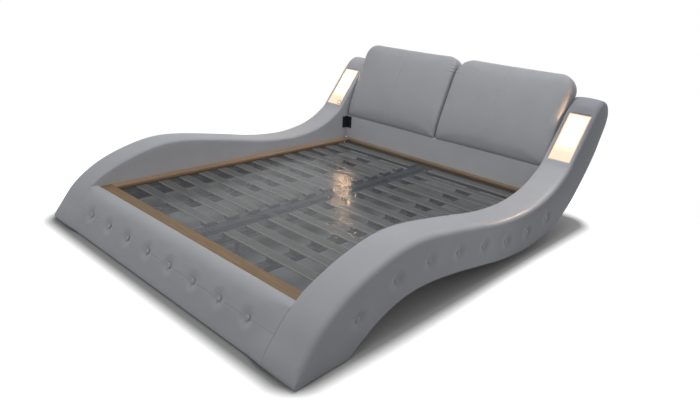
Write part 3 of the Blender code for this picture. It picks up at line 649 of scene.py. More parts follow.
def railSection(row):  # the ring of leather at one station: how far across, and where
    width, upperStop, lowerStop = rail["width"], upperStops[row], lowerStops[row]
    upper, lower = pointAt(upperLine, upperRun, upperStop), pointAt(lowerLine, lowerRun, lowerStop)
    upperIn = lineNormal(upperLine, upperRun, upperStop)
    lowerIn = lineNormal(lowerLine, lowerRun, lowerStop, -1)
    small = rail["toeSize"] + (1 - rail["toeSize"]) * ease(upperStop, 0.0, rail["toeReach"])
    besideFoot = 1 - ease(upper.x, *rail["besideFoot"])
    headSoft = ease(upperStop, lampEnds[1], lampEnds[1] + rail["headReach"])
    back = ease(lowerStop / lowerRun[-1], *rail["backShare"])
    nearLamp = ease(upperStop, *(lampEnds[0] - reach for reach in rail["flatBefore"])) * (
        1 - ease(upperStop, *(lampEnds[1] + reach for reach in rail["flatAfter"])))
    innerTop = (rail["innerRadius"] - (rail["innerRadius"] - rail["noseRadius"]) * besideFoot) * small
    innerUnder, outerUnder = (
        (rail["underRadius"] + (rail[radius] - rail["underRadius"]) * back) * small
        for radius in ("innerRadius", "outerRadius"))
    crown = (rail["crown"] + rail["headCrown"] * headSoft) * small * (1 - nearLamp)
    top = bandPoints(innerTop + rail["headRadius"] * headSoft, rail["outerRadius"] * small, crown)
    if isOpen(row):
        under = bandPoints(innerUnder, outerUnder, 0.0)
        hem, rise, turn = rail["hem"], rail["hemRise"], rail["hemTurn"]
        under[5:8] = [((under[4][0] + hem) / 2, 0.0), (hem, turn), (hem + turn, rise)]
        under[8:11] = [(width - across, deep) for across, deep in under[7:4:-1]]
    else:
        under = bandPoints(innerUnder, outerUnder, rail["crown"] * back)
    ring = [(across, upper + upperIn * deep) for across, deep in top]
    start, end = upper + upperIn * top[-1][1], lower + lowerIn * under[-1][1]
    for cell in range(1, rail["outerCells"] + 1):
        part = cell / (rail["outerCells"] + 1)
        swell = rail["pillow"] * math.sin(part * math.pi) * min(1.0, (end - start).length / 0.2)
        ring.append((width + swell, start.lerp(end, part)))
    ring += [(across, lower + lowerIn * deep) for across, deep in under[::-1]]
    start, end = lower + lowerIn * under[0][1], upper + upperIn * top[0][1]
    return ring + [(0.0, start.lerp(end, cell / (rail["innerCells"] + 1)))
                   for cell in range(1, rail["innerCells"] + 1)]


railSections = [railSection(row) for row in range(rail["stations"] + 1)]


def railPoint(side, row, column):
    across, spot = railSections[row][column % len(railSections[row])]
    return Vector((side * (bed["halfRecess"] + across), bed["front"] + spot.x, spot.y))


def tuftSink(dx, dz):  # how far the leather is drawn in at this offset from a button
    distance = math.hypot(dx, dz)
    bowl = tuft["depth"] * bell(distance, tuft["radius"], 1.9)
    spokes = 0.5 + 0.5 * math.cos(math.atan2(dx, dz) * 6)
    pleat = tuft["creaseDepth"] * spokes * bell(distance - tuft["pleatAt"], tuft["pleatWidth"])
    fold = tuft["creaseDepth"] * bell(dx, tuft["creaseWidth"]) * bell(dz, tuft["foldLength"])
    puff = tuft["swell"] * bell(distance - tuft["puffAt"], tuft["puffWidth"])
    return bowl + pleat + fold - puff


def makeButtons(name, places, material):  # covered buttons: low domes with a turned-in rim
    form = addForm(name + "Form", "uv_sphere", segments=20, ring_count=12, radius=tuft["buttonRadius"])
    choose(form, "VERT", lambda place, part: place.z < -0.25 * tuft["buttonRadius"])
    bpy.ops.mesh.delete(type="VERT")
    choose(form, "VERT")
    bpy.ops.transform.resize(value=(1.0, 1.0, tuft["buttonHeight"] / tuft["buttonRadius"]))
    makeActive(form)
    bpy.ops.object.shade_smooth()
    piece = finish(setOut(form, name, places), material)


def makeRail(name, side, node, hide):
    ring = len(railSections[0])
    band = 2 * rail["cornerCells"] + rail["middleCells"] + 3  # points across the top, or below
    piece, cells = wrappedGrid(name, rail["stations"], ring, lambda row, column: railPoint(side, row, column))
    middle = band + rail["outerCells"] + 7
    lamp = rail["cornerCells"] + 1, rail["cornerCells"] + 1 + rail["middleCells"]
    openRows = [isOpen(row) for row in range(rail["stations"] + 1)]
    dropFaces(piece, cells, lambda row, column: (
        column == middle and openRows[row] and openRows[row + 1]) or (
        row in range(*lampStations) and column in range(*lamp)))
    # the leather turns in round the lamp
    border = [railPoint(side, row, column) for row in range(lampStations[0], lampStations[1] + 1)
              for column in range(lamp[0], lamp[1] + 1) if row in lampStations or column in lamp]

    def onBorder(place, edge):
        return edge.is_boundary and all(
            min((vert.co - spot).length for spot in border) < 0.0005 for vert in edge.verts)

    clean(piece)
    choose(piece, "EDGE", onBorder)
    bpy.ops.mesh.extrude_edges_move(TRANSFORM_OT_translate={"value": -lampOut * lampPlace["wall"]})
    deselect()
    # finer faces round each button, then the leather is drawn in
    outer = side * (bed["halfRecess"] + rail["width"])
    seats = []
    for index in range(tuft["count"]):
        along = tuft["first"] + index * tuft["pitch"]
        low, high = heightAt(lowerLine[::-1], along), heightAt(upperLine, along)
        seats.append(Vector((outer, bed["front"] + along, low + tuft["level"] * (high - low))))

    def nearSeat(place, reach):
        return abs(place.x - outer) <= tuft["skin"] and any(
            math.hypot(place.y - seat.y, place.z - seat.z) < reach for seat in seats)

    subdivideNear(piece, lambda place, part: nearSeat(place, tuft["reach"]), tuft["cuts"])
    for vert in piece.data.vertices:
        if nearSeat(vert.co, tuft["reach"] + tuft["margin"]):
            for seat in seats:
                vert.co.x -= side * tuft["railShare"] * tuftSink(vert.co.y - seat.y, vert.co.z - seat.z)
    clean(piece)
    finish(piece, hide)
    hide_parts(node)
    sunk = Vector((side * (tuft["depth"] * tuft["railShare"] - tuft["seat"]), 0, 0))
    turned = Matrix.Rotation(side * math.pi / 2, 4, "Y")
    makeButtons(name + "Buttons", [Matrix.Translation(seat - sunk) @ turned for seat in seats], leather)
    print(name, len(piece.data.polygons), "faces")


makeRail("leftRailLeather", -1, "left_rail_cover", leather)
makeRail("rightRailLeather", 1, "right_rail_cover", rightLeatherWithPaintedShade)

# The foot panel's face, in shares of how far the ledge is set back and of its height.
footPanel = {
    "setback": 0.20, "half": 0.9052,
    "faceShares": [
        (0.060, 0.022), (0.110, 0.150), (0.180, 0.300), (0.250, 0.440), (0.305, 0.540),
        (0.335, 0.590), (0.375, 0.650), (0.440, 0.745), (0.520, 0.850), (0.610, 0.945),
        (0.720, 1.015), (0.850, 1.050), (0.990, 1.040)],
    "tuckedUnder": (0.043, 0.0045), "heel": (0.016, 0.0042), "endDrop": 0.006,
    "across": 144, "profileSteps": 4, "coarse": 0.0075, "fine": 0.0022, "fineReach": 0.012,
    "endRadius": 0.003, "endSteps": 3, "endWall": 0.016, "endFree": (0.02, 0.06), "lastRun": 0.0015,
    "flush": (0.004, 0.14), "flushLevels": (0.0035, 0.010), "flushBack": (0.13, 0.165),
    "seamShare": 0.590, "seamDepth": 0.0011, "seamWidth": 0.0030,
    "buttonPitch": 0.207, "buttonReach": 0.060, "sinkReach": 0.10,
}


def noseAlong(level):  # how far back the rails' noses are at this height
    return pointAt(upperLine, upperRun, crossingAt(upperLine, 1, min(level, 0.40))).x


def makeFootPanel():
    high = bed["ledgeTop"]
    face = smoothLine([(s * footPanel["setback"], z * high) for s, z in footPanel["faceShares"]],
                      footPanel["profileSteps"])
    line = [Vector(footPanel["tuckedUnder"]), Vector(footPanel["heel"]), *face,
            Vector((face[-1].x + footPanel["lastRun"], face[-1].y - footPanel["endDrop"]))]
    run = lengthsOf(line)
    seamDistance = min((abs(point.y - footPanel["seamShare"] * high), distance)
                       for point, distance in zip(line, run))[1]
    stops, distance = [], 0.0  # finer rows near the seam
    while distance < run[-1]:
        stops.append(distance)
        nearSeam = abs(distance - seamDistance) < footPanel["fineReach"]
        distance += footPanel["fine" if nearSeam else "coarse"]
    stops.append(run[-1])
    half, radius = footPanel["half"], footPanel["endRadius"]
    ends = [radius * (1 - math.cos(turn)) for turn in quarter(footPanel["endSteps"])[:-1]]
    inner = footPanel["across"] - 2 * len(ends)
    acrossStops = [-half] + [-half + end for end in ends] + [
        -half + radius + (2 * half - 2 * radius) * index / inner for index in range(inner + 1)] + [
        half - end for end in ends[::-1]] + [half]
    rows, columns = len(acrossStops) - 1, len(stops) - 1

    def place(row, column):
        x, stop = acrossStops[row], stops[column]
        spot, inward = pointAt(line, run, stop), lineNormal(line, run, stop)
        fromEnd = half - abs(x)
        sink = 0.0
        if fromEnd < radius:
            sink = radius - math.sqrt(max(radius ** 2 - (radius - fromEnd) ** 2, 0.0))
        if row in (0, rows):
            sink += footPanel["endWall"]
        # its ends are flush with the rails' noses
        blend = (1 - ease(fromEnd, *footPanel["flush"])) * ease(spot.y, *footPanel["flushLevels"]) * (
            1 - ease(spot.x, *footPanel["flushBack"]))
        spot = Vector((spot.x + (noseAlong(spot.y) - spot.x) * blend, spot.y))
        seam = footPanel["seamDepth"] * bell(stop - seamDistance, footPanel["seamWidth"])
        spot = spot + inward * (sink * ease(stop, *footPanel["endFree"]) + seam)
        return Vector((x, bed["front"] + spot.x, spot.y))

    piece, cells = wrappedGrid("footPanelLeather", rows, columns, place)
    seamPoint, inward = pointAt(line, run, seamDistance), lineNormal(line, run, seamDistance)
    outwards = Vector((0.0, -inward.x, -inward.y))
    upwards = Vector((1.0, 0.0, 0.0)).cross(outwards)
    seats = [Vector(((index - (tuft["count"] - 1) / 2) * footPanel["buttonPitch"],
                     bed["front"] + seamPoint.x, seamPoint.y)) for index in range(tuft["count"])]
    subdivideNear(piece, lambda spot, part: min(
        (spot - seat).length for seat in seats) < footPanel["buttonReach"], tuft["cuts"])
    for vert in piece.data.vertices:
        for seat in seats:
            away = vert.co - seat
            if away.length < footPanel["sinkReach"]:
                vert.co = vert.co - outwards * tuftSink(away.x, away.dot(upwards))
    clean(piece)
    finish(piece, leather)
    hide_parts("foot_panel_cover")
    sunk = outwards * (tuft["depth"] - tuft["seat"])
    turned = outwards.to_track_quat("Z", "Y").to_matrix().to_4x4()
    makeButtons("footPanelButtons", [Matrix.Translation(seat - sunk) @ turned for seat in seats], leather)
    print("foot panel", len(piece.data.polygons), "faces")
    return seats, outwards


footSeats, footOut = makeFootPanel()

headPanel = {
    "half": 0.9047, "low": 0.190, "high": 0.400, "front": 2.2728, "thick": 0.034, "pad": 0.016,
    "radius": 0.012, "lowRadius": 0.006, "lip": 0.004, "tuckBack": 0.384, "across": 60, "levels": 14,
    "setIn": 0.0015, "crown": 0.0018, "wave": 0.0009, "waveSizes": (0.25, 0.12),
}


def makeHeadPanel():
    radius, low, top = headPanel["radius"], headPanel["low"], headPanel["high"]
    front, back = headPanel["front"], headPanel["front"] + headPanel["thick"]
    foot, turns = low + headPanel["lowRadius"], quarter(5)
    waveAcross, waveUp = headPanel["waveSizes"]
    profile = [(front + headPanel["pad"], low), (front + headPanel["lip"], low)]
    profile += [(front, foot + (top - radius - foot) * index / headPanel["levels"])
                for index in range(headPanel["levels"])]
    profile += [(front + radius - radius * math.cos(turn), top - radius + radius * math.sin(turn))
                for turn in turns]
    profile += [(back - radius + radius * math.cos(turn), top - radius + radius * math.sin(turn))
                for turn in turns[::-1]]
    profile.append((back, headPanel["tuckBack"]))
    rows = headPanel["across"]

    def place(row, column):
        x = -headPanel["half"] + 2 * headPanel["half"] * row / rows
        along, level = profile[column]
        if along < front + headPanel["lip"] / 2:
            wave = noise.noise(Vector((x / waveAcross, level / waveUp, 3.1)))
            along += headPanel["setIn"] + headPanel["wave"] * wave
            along -= headPanel["crown"] * math.sin(math.pi * (level - low) / (top - low))
        return Vector((x, bed["front"] + along, level))

    piece, cells = wrappedGrid("headPanelLeather", rows, len(profile) - 1, place)
    clean(piece)
    finish(piece, headPanelLeatherPaintedLight)
    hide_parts("head_panel_cover")


makeHeadPanel()
print("head panel made")

cushion = {
    "width": 0.9035, "length": 0.631, "thick": 0.112, "corner": 0.096, "outerCorner": 0.112,
    "innerCorner": 0.135, "lowCorner": 0.014, "softCorner": 0.055, "nudge": 0.0006,
    "cells": (84, 8, 60),
    "rimReach": 0.020, "rimDrop": 0.010, "innerTight": 0.72,
    "sideReach": 0.10, "sideDrop": 0.004, "sidePower": 2.2,
    "topReach": 0.13, "topDrop": 0.004, "lowReach": 0.13, "lowDrop": 0.010, "endPower": 2.4,
    "belly": 0.026, "crown": 0.008, "backInset": 0.008, "pull": 0.003, "unevenness": 0.0010, "patch": 0.09,
    "seamPlace": -0.03, "seamDepth": 0.0050, "seamWidth": 0.0065, "seamBefore": 0.01,
    "puckerDepth": 0.0026, "puckerPitch": 0.0250, "puckerReach": 0.045, "puckerBefore": 0.02,
    "outerPucker": 0.30,
    "puckerFrom": 0.30, "puckerAt": 0.66, "puckerHeight": 0.20,  # in shares of half its height
    "frames": 20, "mostMove": 0.005, "smoothing": 14,
    "lean": 0.410, "foot": (0.0, 2.2560, 0.4215), "below": 0.020, "solidThick": 0.118,
}
stuffing = {
    "quality": 5, "mass": 0.4, "tension_stiffness": 25, "compression_stiffness": 25,
    "shear_stiffness": 20, "bending_stiffness": 14.0, "tension_damping": 8, "use_pressure": True,
    "uniform_pressure_force": 2.5, "shrink_min": -0.003, "vertex_group_mass": "held",
    "pin_stiffness": 1.0,
}


def cornerAt(x, z, side):
    if z < 0:
        return cushion["lowCorner"]
    if side < 0:
        return cushion["corner"]
    return cushion["outerCorner" if x > 0 else "innerCorner"]


def insideGap(x, z, half, side):  # how far inside the rounded outline
    corner = max(cornerAt(x, z, side), cushion["softCorner"])
    overX, overZ = abs(x) - half.x + corner, abs(z) - half.z + corner
    return corner - math.hypot(max(overX, 0.0), max(overZ, 0.0)) - min(max(overX, overZ), 0.0)


def falling(gap, reach, power):  # 1 on the outline, 0 from the reach inwards
    return max(0.0, min(1.0, 1 - gap / reach)) ** power


def cushionFace(x, z, half, side):  # how far the front face lies behind its plane
    tight = 1 - cushion["innerTight"] * ease(-x * side / half.x, 0.4, 0.9)
    t = falling(insideGap(x, z, half, side), cushion["rimReach"] * tight, 1)
    drop = cushion["rimDrop"] * tight * (1 - math.sqrt(1 - t * t))
    drop += cushion["sideDrop"] * falling(half.x - abs(x), cushion["sideReach"], cushion["sidePower"])
    end = "top" if z > 0 else "low"
    power = cushion["endPower"]
    drop += cushion[end + "Drop"] * falling(half.z - abs(z), cushion[end + "Reach"], power)
    u, w = x / half.x, z / half.z
    return drop - cushion["crown"] * (1 - u * u) * (1 - w * w) - cushion["belly"] * (1 - abs(w) ** power)


def cushionForm(name, side):
    piece = addForm(name, "cube", size=2.0)
    for axis, cells in enumerate(cushion["cells"]):
        choose(piece, "EDGE", lambda place, edge: abs((edge.verts[0].co - edge.verts[1].co)[axis]) > 1.0)
        bpy.ops.mesh.subdivide(number_cuts=cells - 1)
        deselect()
    half = Vector((cushion["width"] / 2, cushion["thick"] / 2, cushion["length"] / 2))
    patch = cushion["patch"]
    held = piece.vertex_groups.new(name="held")
    for vert in piece.data.vertices:
        unit = vert.co.copy()
        u, w = (1.25 * part - 0.25 * part ** 3 for part in (unit.x, unit.z))  # finer near the edges
        x, z = u * half.x, w * half.z
        corner = cornerAt(x, z, side)
        cx = max(-half.x + corner, min(half.x - corner, x))
        cz = max(-half.z + corner, min(half.z - corner, z))
        away = Vector((x - cx, z - cz))
        if away.length > 0:
            away = away.normalized() * max(abs(away.x), abs(away.y))
        x, z = cx + away.x, cz + away.y
        front = cushionFace(x, z, half, side)
        y = -half.y + front + (unit.y + 1) / 2 * (2 * half.y - front)
        if unit.y > 0.5:  # the back rim is turned in a little
            inset = cushion["backInset"] * ((unit.y - 0.5) / 0.5) ** 2
            x -= inset * u ** 9
            z -= inset * w ** 9
        x -= cushion["pull"] * u * (1 - w * w)
        z -= cushion["pull"] * w * (1 - u * u)
        if unit.y > 0.999:
            held.add([vert.index], 1.0, "REPLACE")
        seed = Vector((x / patch + 7 * side, y / patch, z / patch))
        vert.co = Vector((x, y, z)) + Vector((0, cushion["unevenness"], 0)) * noise.noise(seed)
    return piece


def inflate(piece):  # cloth with air in it, then its shape is kept
    start = [vert.co.copy() for vert in piece.data.vertices]
    cloth = piece.modifiers.new("stuffing", "CLOTH")
    for name, value in stuffing.items():
        setattr(cloth.settings, name, value)
    cloth.settings.effector_weights.gravity = 0.0
    scene = bpy.context.scene
    for number in range(1, cushion["frames"] + 1):
        scene.frame_set(number)
    applyModifiers(piece)
    scene.frame_set(1)
    most = cushion["mostMove"]
    for vert, old in zip(piece.data.vertices, start):
        move = vert.co - old
        vert.co = old + move.normalized() * most * math.tanh(move.length / most)
    relax = piece.modifiers.new("relaxing", "SMOOTH")
    relax.factor, relax.iterations = 0.5, cushion["smoothing"]
    applyModifiers(piece)


def makeCushion(name, side, node):
    piece = cushionForm(name, side)
    inflate(piece)
    piece.modifiers.new("smoothing", "SUBSURF")  # one level, before the seam goes in
    applyModifiers(piece)
    half, high = cushion["width"] / 2, cushion["length"] / 2
    for vert in piece.data.vertices:  # neighbours and the back panel press it flat there
        vert.co.x = max(-half, min(half, vert.co.x))
        vert.co.y = min(vert.co.y, cushion["thick"] / 2)
        if vert.co.y < cushion["seamBefore"]:  # the sewn seam up the middle
            vert.co.y += cushion["seamDepth"] * bell(vert.co.x - cushion["seamPlace"], cushion["seamWidth"])
        # gathers where the upper corners are sewn
        if vert.co.z > cushion["puckerFrom"] * high and vert.co.y < cushion["puckerBefore"]:
            near = bell(half - abs(vert.co.x), cushion["puckerReach"])
            near *= 1.0 if vert.co.x * side < 0 else cushion["outerPucker"]
            band = bell(vert.co.z - cushion["puckerAt"] * high, cushion["puckerHeight"] * high)
            vert.co.y += cushion["puckerDepth"] * near * band * math.sin(
                vert.co.z / cushion["puckerPitch"] * 2 * math.pi)
    onBack = Vector((side * (bed["halfRecess"] / 2 - cushion["nudge"]),
                     cushion["solidThick"] - cushion["thick"] / 2, high - cushion["below"]))
    piece.data.transform(
        Matrix.Translation(Vector(cushion["foot"]) + Vector((0, bed["front"], 0)))
        @ Matrix.Rotation(-cushion["lean"], 4, "X") @ Matrix.Translation(onBack))
    piece.vertex_groups.clear()
    clean(piece, 0.00005)
    finish(piece, cushionLeatherPaintedShade)
    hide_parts(node)
    print(name, len(piece.data.polygons), "faces")


makeCushion("leftCushionLeather", -1, "left_cushion")
makeCushion("rightCushionLeather", 1, "right_cushion")

for lampName, lampSide in (("left", -1), ("right", 1)):
    low, high = lampPoints
    centre = Vector((lampSide * (bed["halfRecess"] + rail["width"] / 2),
                     bed["front"] + (low.x + high.x) / 2, (low.y + high.y) / 2))
    half = (lampPlace["width"] / 2, lampRun.length / 2)
    paint(lampName + "_lamp_diffuser", opalMaterial(lampName + "LitOpalAcrylic", onLamp(centre), half))
print("lamps lit")

filmSheet = {
    "level": 0.1984, "rows": 150, "columns": 130, "wave": 0.0012, "ripple": 0.0006, "waveSize": 0.13,
    "rippleSizes": (0.05, 0.07),
}


def makeFilm():  # clear film over the slats
    low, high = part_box("clear_film")
    rows, columns = filmSheet["rows"], filmSheet["columns"]
    acrossRipple, alongRipple = filmSheet["rippleSizes"]

    def place(row, column):
        x = low[0] + (high[0] - low[0]) * row / rows
        y = low[1] + (high[1] - low[1]) * column / columns
        wave = noise.noise(Vector((x / filmSheet["waveSize"], y / filmSheet["waveSize"], 0.0)))
        fold = abs(noise.noise(Vector((x / acrossRipple, y / alongRipple, 5.0))))
        rise = filmSheet["wave"] * (0.5 + wave) + filmSheet["ripple"] * fold
        return Vector((x, y, filmSheet["level"] + rise))

    piece, cells = wrappedGrid("clearFilmSheet", rows, columns, place)
    makeActive(piece)
    bpy.ops.object.shade_smooth()
    finish(piece, film, "slatted_base")
    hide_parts("clear_film")
    area = sum(face.area for face in piece.data.polygons)
    print("film", round(area, 3), "square metres")


makeFilm()

backCloth = {
    "half": 0.9040, "offset": 0.0016, "slack": 0.004, "sagLow": 0.36, "sagHigh": 0.62,
    "foldSizes": (0.16, 0.30),
    "line": [(1.2552, 0.7780), (1.2552, 0.7000), (1.2290, 0.6270), (1.1350, 0.4850), (1.0490, 0.3560),
             (1.0470, 0.3030), (0.9960, 0.1960)],
    "rows": 96, "steps": 9, "staplePitch": 0.058, "stapleWidth": 0.011, "stapleWire": 0.0008,
    "stapleInset": 0.02, "stapleRound": 0.0003,
}


def makeBackCloth():  # black cloth on the headboard's back, stapled along both edges
    half, low, high = backCloth["half"], backCloth["sagLow"], backCloth["sagHigh"]
    foldAcross, foldUp = backCloth["foldSizes"]
    line = smoothLine([(y + backCloth["offset"], z) for y, z in backCloth["line"]], backCloth["steps"])
    run = lengthsOf(line)
    rows, columns = backCloth["rows"], len(line) - 1

    def place(row, column):
        x = -half + 2 * half * row / rows
        y, z = line[column]
        sag = math.sin(math.pi * max(0.0, min(1.0, (z - low) / (high - low))))
        fold = noise.noise(Vector((x / foldAcross, z / foldUp, 9.0)))
        return Vector((x, y + backCloth["slack"] * sag * (0.4 + 0.6 * fold), z))

    piece, cells = wrappedGrid("headboardBackCloth", rows, columns, place)
    clean(piece)
    finish(piece, dustCloth)
    wide, wire = backCloth["stapleWidth"], backCloth["stapleWire"]
    staple = addForm("stapleForm", "cube", size=1.0)
    staple.data.transform(Matrix.Diagonal((wide, wire, wire, 1)))
    bevel = staple.modifiers.new("rounding", "BEVEL")
    bevel.width, bevel.segments = backCloth["stapleRound"], 1
    applyModifiers(staple)
    count = int(2 * half / backCloth["staplePitch"])
    reach = half - backCloth["stapleInset"]
    staples = setOut(staple, "headboardBackStaples", [
        Matrix.Translation((-reach + 2 * reach * index / count, y + wire, z))
        for y, z in (line[2], line[-3]) for index in range(count + 1)])
    finish(staples, zinc)


makeBackCloth()
print("back cloth stapled on")

# Holders that carry the slat ends, clipped on the steel frames.
slatCap = {
    "length": 0.048, "wall": 0.0026, "play": 0.0006, "rise": 0.0060, "radius": 0.0015,
    "belowSlat": 0.0143, "gap": 0.0002, "places": [0.100, 0.461, 0.818],
}


def makeSlatCaps(name, side, sign):
    low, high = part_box(f"{side}_slat_01")
    width = float(high[1] - low[1]) + 2 * slatCap["wall"] + slatCap["play"]
    frameTop = float(low[2]) - slatCap["belowSlat"]
    tall = float(low[2]) + slatCap["rise"] - frameTop
    form = addForm("slatCapForm", "cube", size=1.0)
    form.data.transform(Matrix.Diagonal((slatCap["length"], width, tall, 1)))
    choose(form, "FACE", lambda place, part: part.normal.z > 0.9)
    bpy.ops.mesh.inset(thickness=slatCap["wall"])
    down = -slatCap["rise"] - slatCap["gap"]
    bpy.ops.mesh.extrude_region_move(TRANSFORM_OT_translate={"value": (0, 0, down)})
    deselect()
    rounding = form.modifiers.new("rounding", "BEVEL")
    rounding.width, rounding.segments, rounding.limit_method = slatCap["radius"], 2, "ANGLE"
    applyModifiers(form)
    middles = []
    for index in range(1, slatCount + 1):
        low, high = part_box(f"{side}_slat_{index:02d}")
        middles.append(float(low[1] + high[1]) / 2)
    piece = setOut(form, name, [Matrix.Translation((sign * place, middle, frameTop + tall / 2))
                                for middle in middles for place in slatCap["places"]])
    bpy.ops.object.shade_smooth_by_angle(angle=math.radians(40))
    finish(piece, capPlastic, "slatted_base")


makeSlatCaps("leftSlatCaps", "left", -1)
makeSlatCaps("rightSlatCaps", "right", 1)
print("slat caps made")

stitch = {
    "length": 0.0065, "pitch": 0.0092, "thick": 0.0012, "clear": 0.026, "ends": 0.012, "inset": 0.22,
    "dome": 0.0003, "rise": 0.0002, "reach": 0.05,
}


def makeFootStitches():  # thread along the foot panel's seam
    cover = bpy.data.objects["footPanelLeather"]
    form = addForm("stitchForm", "cylinder", vertices=6, radius=stitch["thick"] / 2, depth=stitch["length"])
    choose(form, "FACE", lambda place, part: abs(part.normal.z) > 0.9)
    bpy.ops.mesh.inset(thickness=stitch["thick"] * stitch["inset"])
    bpy.ops.mesh.extrude_region_shrink_fatten(TRANSFORM_OT_shrink_fatten={"value": stitch["dome"]})
    deselect()
    form.data.transform(Matrix.Rotation(math.pi / 2, 4, "Y"))
    places = []
    x = -footPanel["half"] + stitch["ends"]
    while x < footPanel["half"] - stitch["ends"]:
        if min(abs(x - seat.x) for seat in footSeats) > stitch["clear"]:
            start = Vector((x, footSeats[0].y, footSeats[0].z)) + footOut * stitch["reach"]
            hit, place, normal, index = cover.ray_cast(start, -footOut)
            if hit:
                places.append(Matrix.Translation(place + footOut * stitch["rise"]))
        x += stitch["pitch"]
    piece = setOut(form, "footPanelStitches", places)
    bpy.ops.object.shade_smooth()
    finish(piece, thread)
    print(len(places), "stitches")


makeFootStitches()

switchRing = {"radius": 0.0175, "wire": 0.0026, "rise": 0.0006, "flatten": 0.75}


def makeSwitchRing():  # bezel of the lamp switch
    low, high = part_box("lamp_switch_body")
    centre = (Vector([float(v) for v in low]) + Vector([float(v) for v in high])) / 2
    onFace = Vector((0.0, bed["front"] + lampPoints[0].x, lampPoints[0].y))
    centre += lampOut * ((onFace - centre).dot(lampOut) + switchRing["rise"])
    piece = addForm("lampSwitchRing", "torus", major_radius=switchRing["radius"],
                    minor_radius=switchRing["wire"], major_segments=48, minor_segments=12)
    piece.data.transform(onLamp(centre) @ Matrix.Diagonal((1.0, 1.0, switchRing["flatten"], 1.0)))
    clean(piece, 0.00001)
    finish(piece, glowingTanBezel)


makeSwitchRing()
print("switch ring made")

# Floor, light and camera. The floor carries a painted shadow: its brightness under the bed is "under", and
# "inside" farther in.
studio = {
    "world": 0.38, "paper": 2.5, "under": 0.66, "shadowAtFoot": 0.36, "inside": 0.48, "bounce": 0.20,
    "shadowFootprint": (1.154, 1.324), "middle": (-0.018, -0.0455), "corner": 0.14, "soft": (-0.08, 0.10),
    "footShadowStretch": (-1.28, -1.14), "insideStretch": (-0.42, -0.24), "farStretch": (1.6, 2.6),
}


def seenShare(tree):  # 1 for what the camera sees, directly, mirrored or through something clear
    path = addNode(tree, "LightPath").node.outputs
    mirrored = maths(tree, "MAXIMUM", path["Is Glossy Ray"], path["Is Transmission Ray"])
    return maths(tree, "MAXIMUM", path["Is Camera Ray"], mirrored)


# White paper floor. The camera sees it brighter than it lights the bed, so that it is white
# with a soft shadow on it, partly real and partly painted darker round the bed's footprint. Under the bed it
# is painted as dark as a floor that no lamp reaches.
def makeFloor():
    floor = addForm("studioFloor", "plane", size=40.0)
    material, tree, place = newMaterial("whitePaperWithPaintedShadow")
    parts = partsOf(tree, place)
    ways = [maths(tree, "SUBTRACT", maths(tree, "ABSOLUTE", maths(tree, "SUBTRACT", parts[axis], middle)),
                  reach - studio["corner"])
            for axis, reach, middle in zip("XY", studio["shadowFootprint"], studio["middle"])]
    within = maths(tree, "MINIMUM", maths(tree, "MAXIMUM", *ways), 0.0)
    past = [maths(tree, "MAXIMUM", way, 0.0) for way in ways]
    rounded = lengthOf(tree, addNode(tree, "CombineXYZ", {"X": past[0], "Y": past[1]}))
    outside = maths(tree, "SUBTRACT", maths(tree, "ADD", rounded, within), studio["corner"])
    # painted shadow: the paper is darker near and under the bed's footprint, and lighter again under the
    # slats
    foot = span(tree, parts["Y"], *studio["footShadowStretch"], studio["shadowAtFoot"], studio["under"])
    inner = span(tree, outside, *studio["insideStretch"], studio["inside"], foot, smooth=True)
    near = span(tree, outside, *studio["soft"], 0.0, studio["paper"], smooth=True)
    shade = maths(tree, "MAXIMUM", inner, near)
    far = span(tree, lengthOf(tree, place), *studio["farStretch"], smooth=True)
    paintedShadowColour = addNode(tree, "CombineColor", {"Red": shade, "Green": shade, "Blue": shade})
    paper = addNode(tree, "BsdfDiffuse", {"Color": paintedShadowColour})
    white = addNode(tree, "Emission", {"Color": colourOf(1.0), "Strength": 1.0})
    seen = addNode(tree, "MixShader", {"Fac": far, 1: paper, 2: white})
    dim = addNode(tree, "BsdfDiffuse", {"Color": colourOf(studio["bounce"])})
    whole = addNode(tree, "MixShader", {"Fac": seenShare(tree), 1: dim, 2: seen})
    addNode(tree, "OutputMaterial", {"Surface": whole})
    floor.data.materials.append(material)


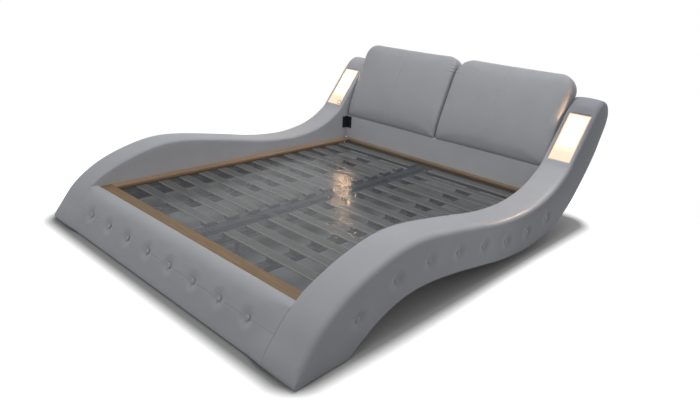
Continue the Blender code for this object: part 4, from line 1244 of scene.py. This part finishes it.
def makeWorld():
    world = bpy.data.worlds.new("studio")
    world.use_nodes = True
    tree = world.node_tree
    tree.nodes.clear()
    plain, white = (addNode(tree, "Background", {"Color": colourOf(1.0), "Strength": strength})
                    for strength in (studio["world"], 1.0))
    whole = addNode(tree, "MixShader", {"Fac": seenShare(tree), 1: plain, 2: white})
    addNode(tree, "OutputWorld", {"Surface": whole})
    bpy.context.scene.world = world


softLights = [
    {"name": "overheadSoftbox", "size": 2.6, "power": 69.0,
     "place": (0.4, 0.62, 3.8), "aim": (0.0, 0.0, 0.2)},
    {"name": "footSoftbox", "size": 5.0, "power": 120.0,
     "place": (-0.6, -12.0, 2.4), "aim": (0.0, 0.0, 0.4)},
]


def makeLights():
    for light in softLights:
        data = bpy.data.lights.new(light["name"], "AREA")
        data.shape = "SQUARE"
        data.size = light["size"]
        data.energy = light["power"]
        lamp = bpy.data.objects.new(light["name"], data)
        bpy.context.scene.collection.objects.link(lamp)
        lamp.location = light["place"]
        way = Vector(light["aim"]) - Vector(light["place"])
        lamp.rotation_euler = way.to_track_quat("-Z", "Y").to_euler()


camera = {
    "place": (2.463, -2.480, 1.448), "yaw": 40.67, "pitch": 21.27, "roll": 3.83,
    "lens": 29.99, "sensor": 36.0, "shiftX": -0.041, "shiftY": 0.01314,
}


def makeCamera():
    data = bpy.data.cameras.new("photoCamera")
    data.lens, data.sensor_width = camera["lens"], camera["sensor"]
    data.shift_x, data.shift_y = camera["shiftX"], camera["shiftY"]
    view = bpy.data.objects.new("photoCamera", data)
    bpy.context.scene.collection.objects.link(view)
    yaw, pitch, roll = (Matrix.Rotation(math.radians(angle), 4, axis) for angle, axis in (
        (camera["yaw"], "Z"), (90 - camera["pitch"], "X"), (camera["roll"], "Z")))
    view.matrix_world = Matrix.Translation(camera["place"]) @ yaw @ pitch @ roll
    bpy.context.scene.camera = view


makeFloor()
makeWorld()
makeLights()
makeCamera()
bpy.context.scene.view_settings.view_transform = "Standard"
print("studio made")

deselect()
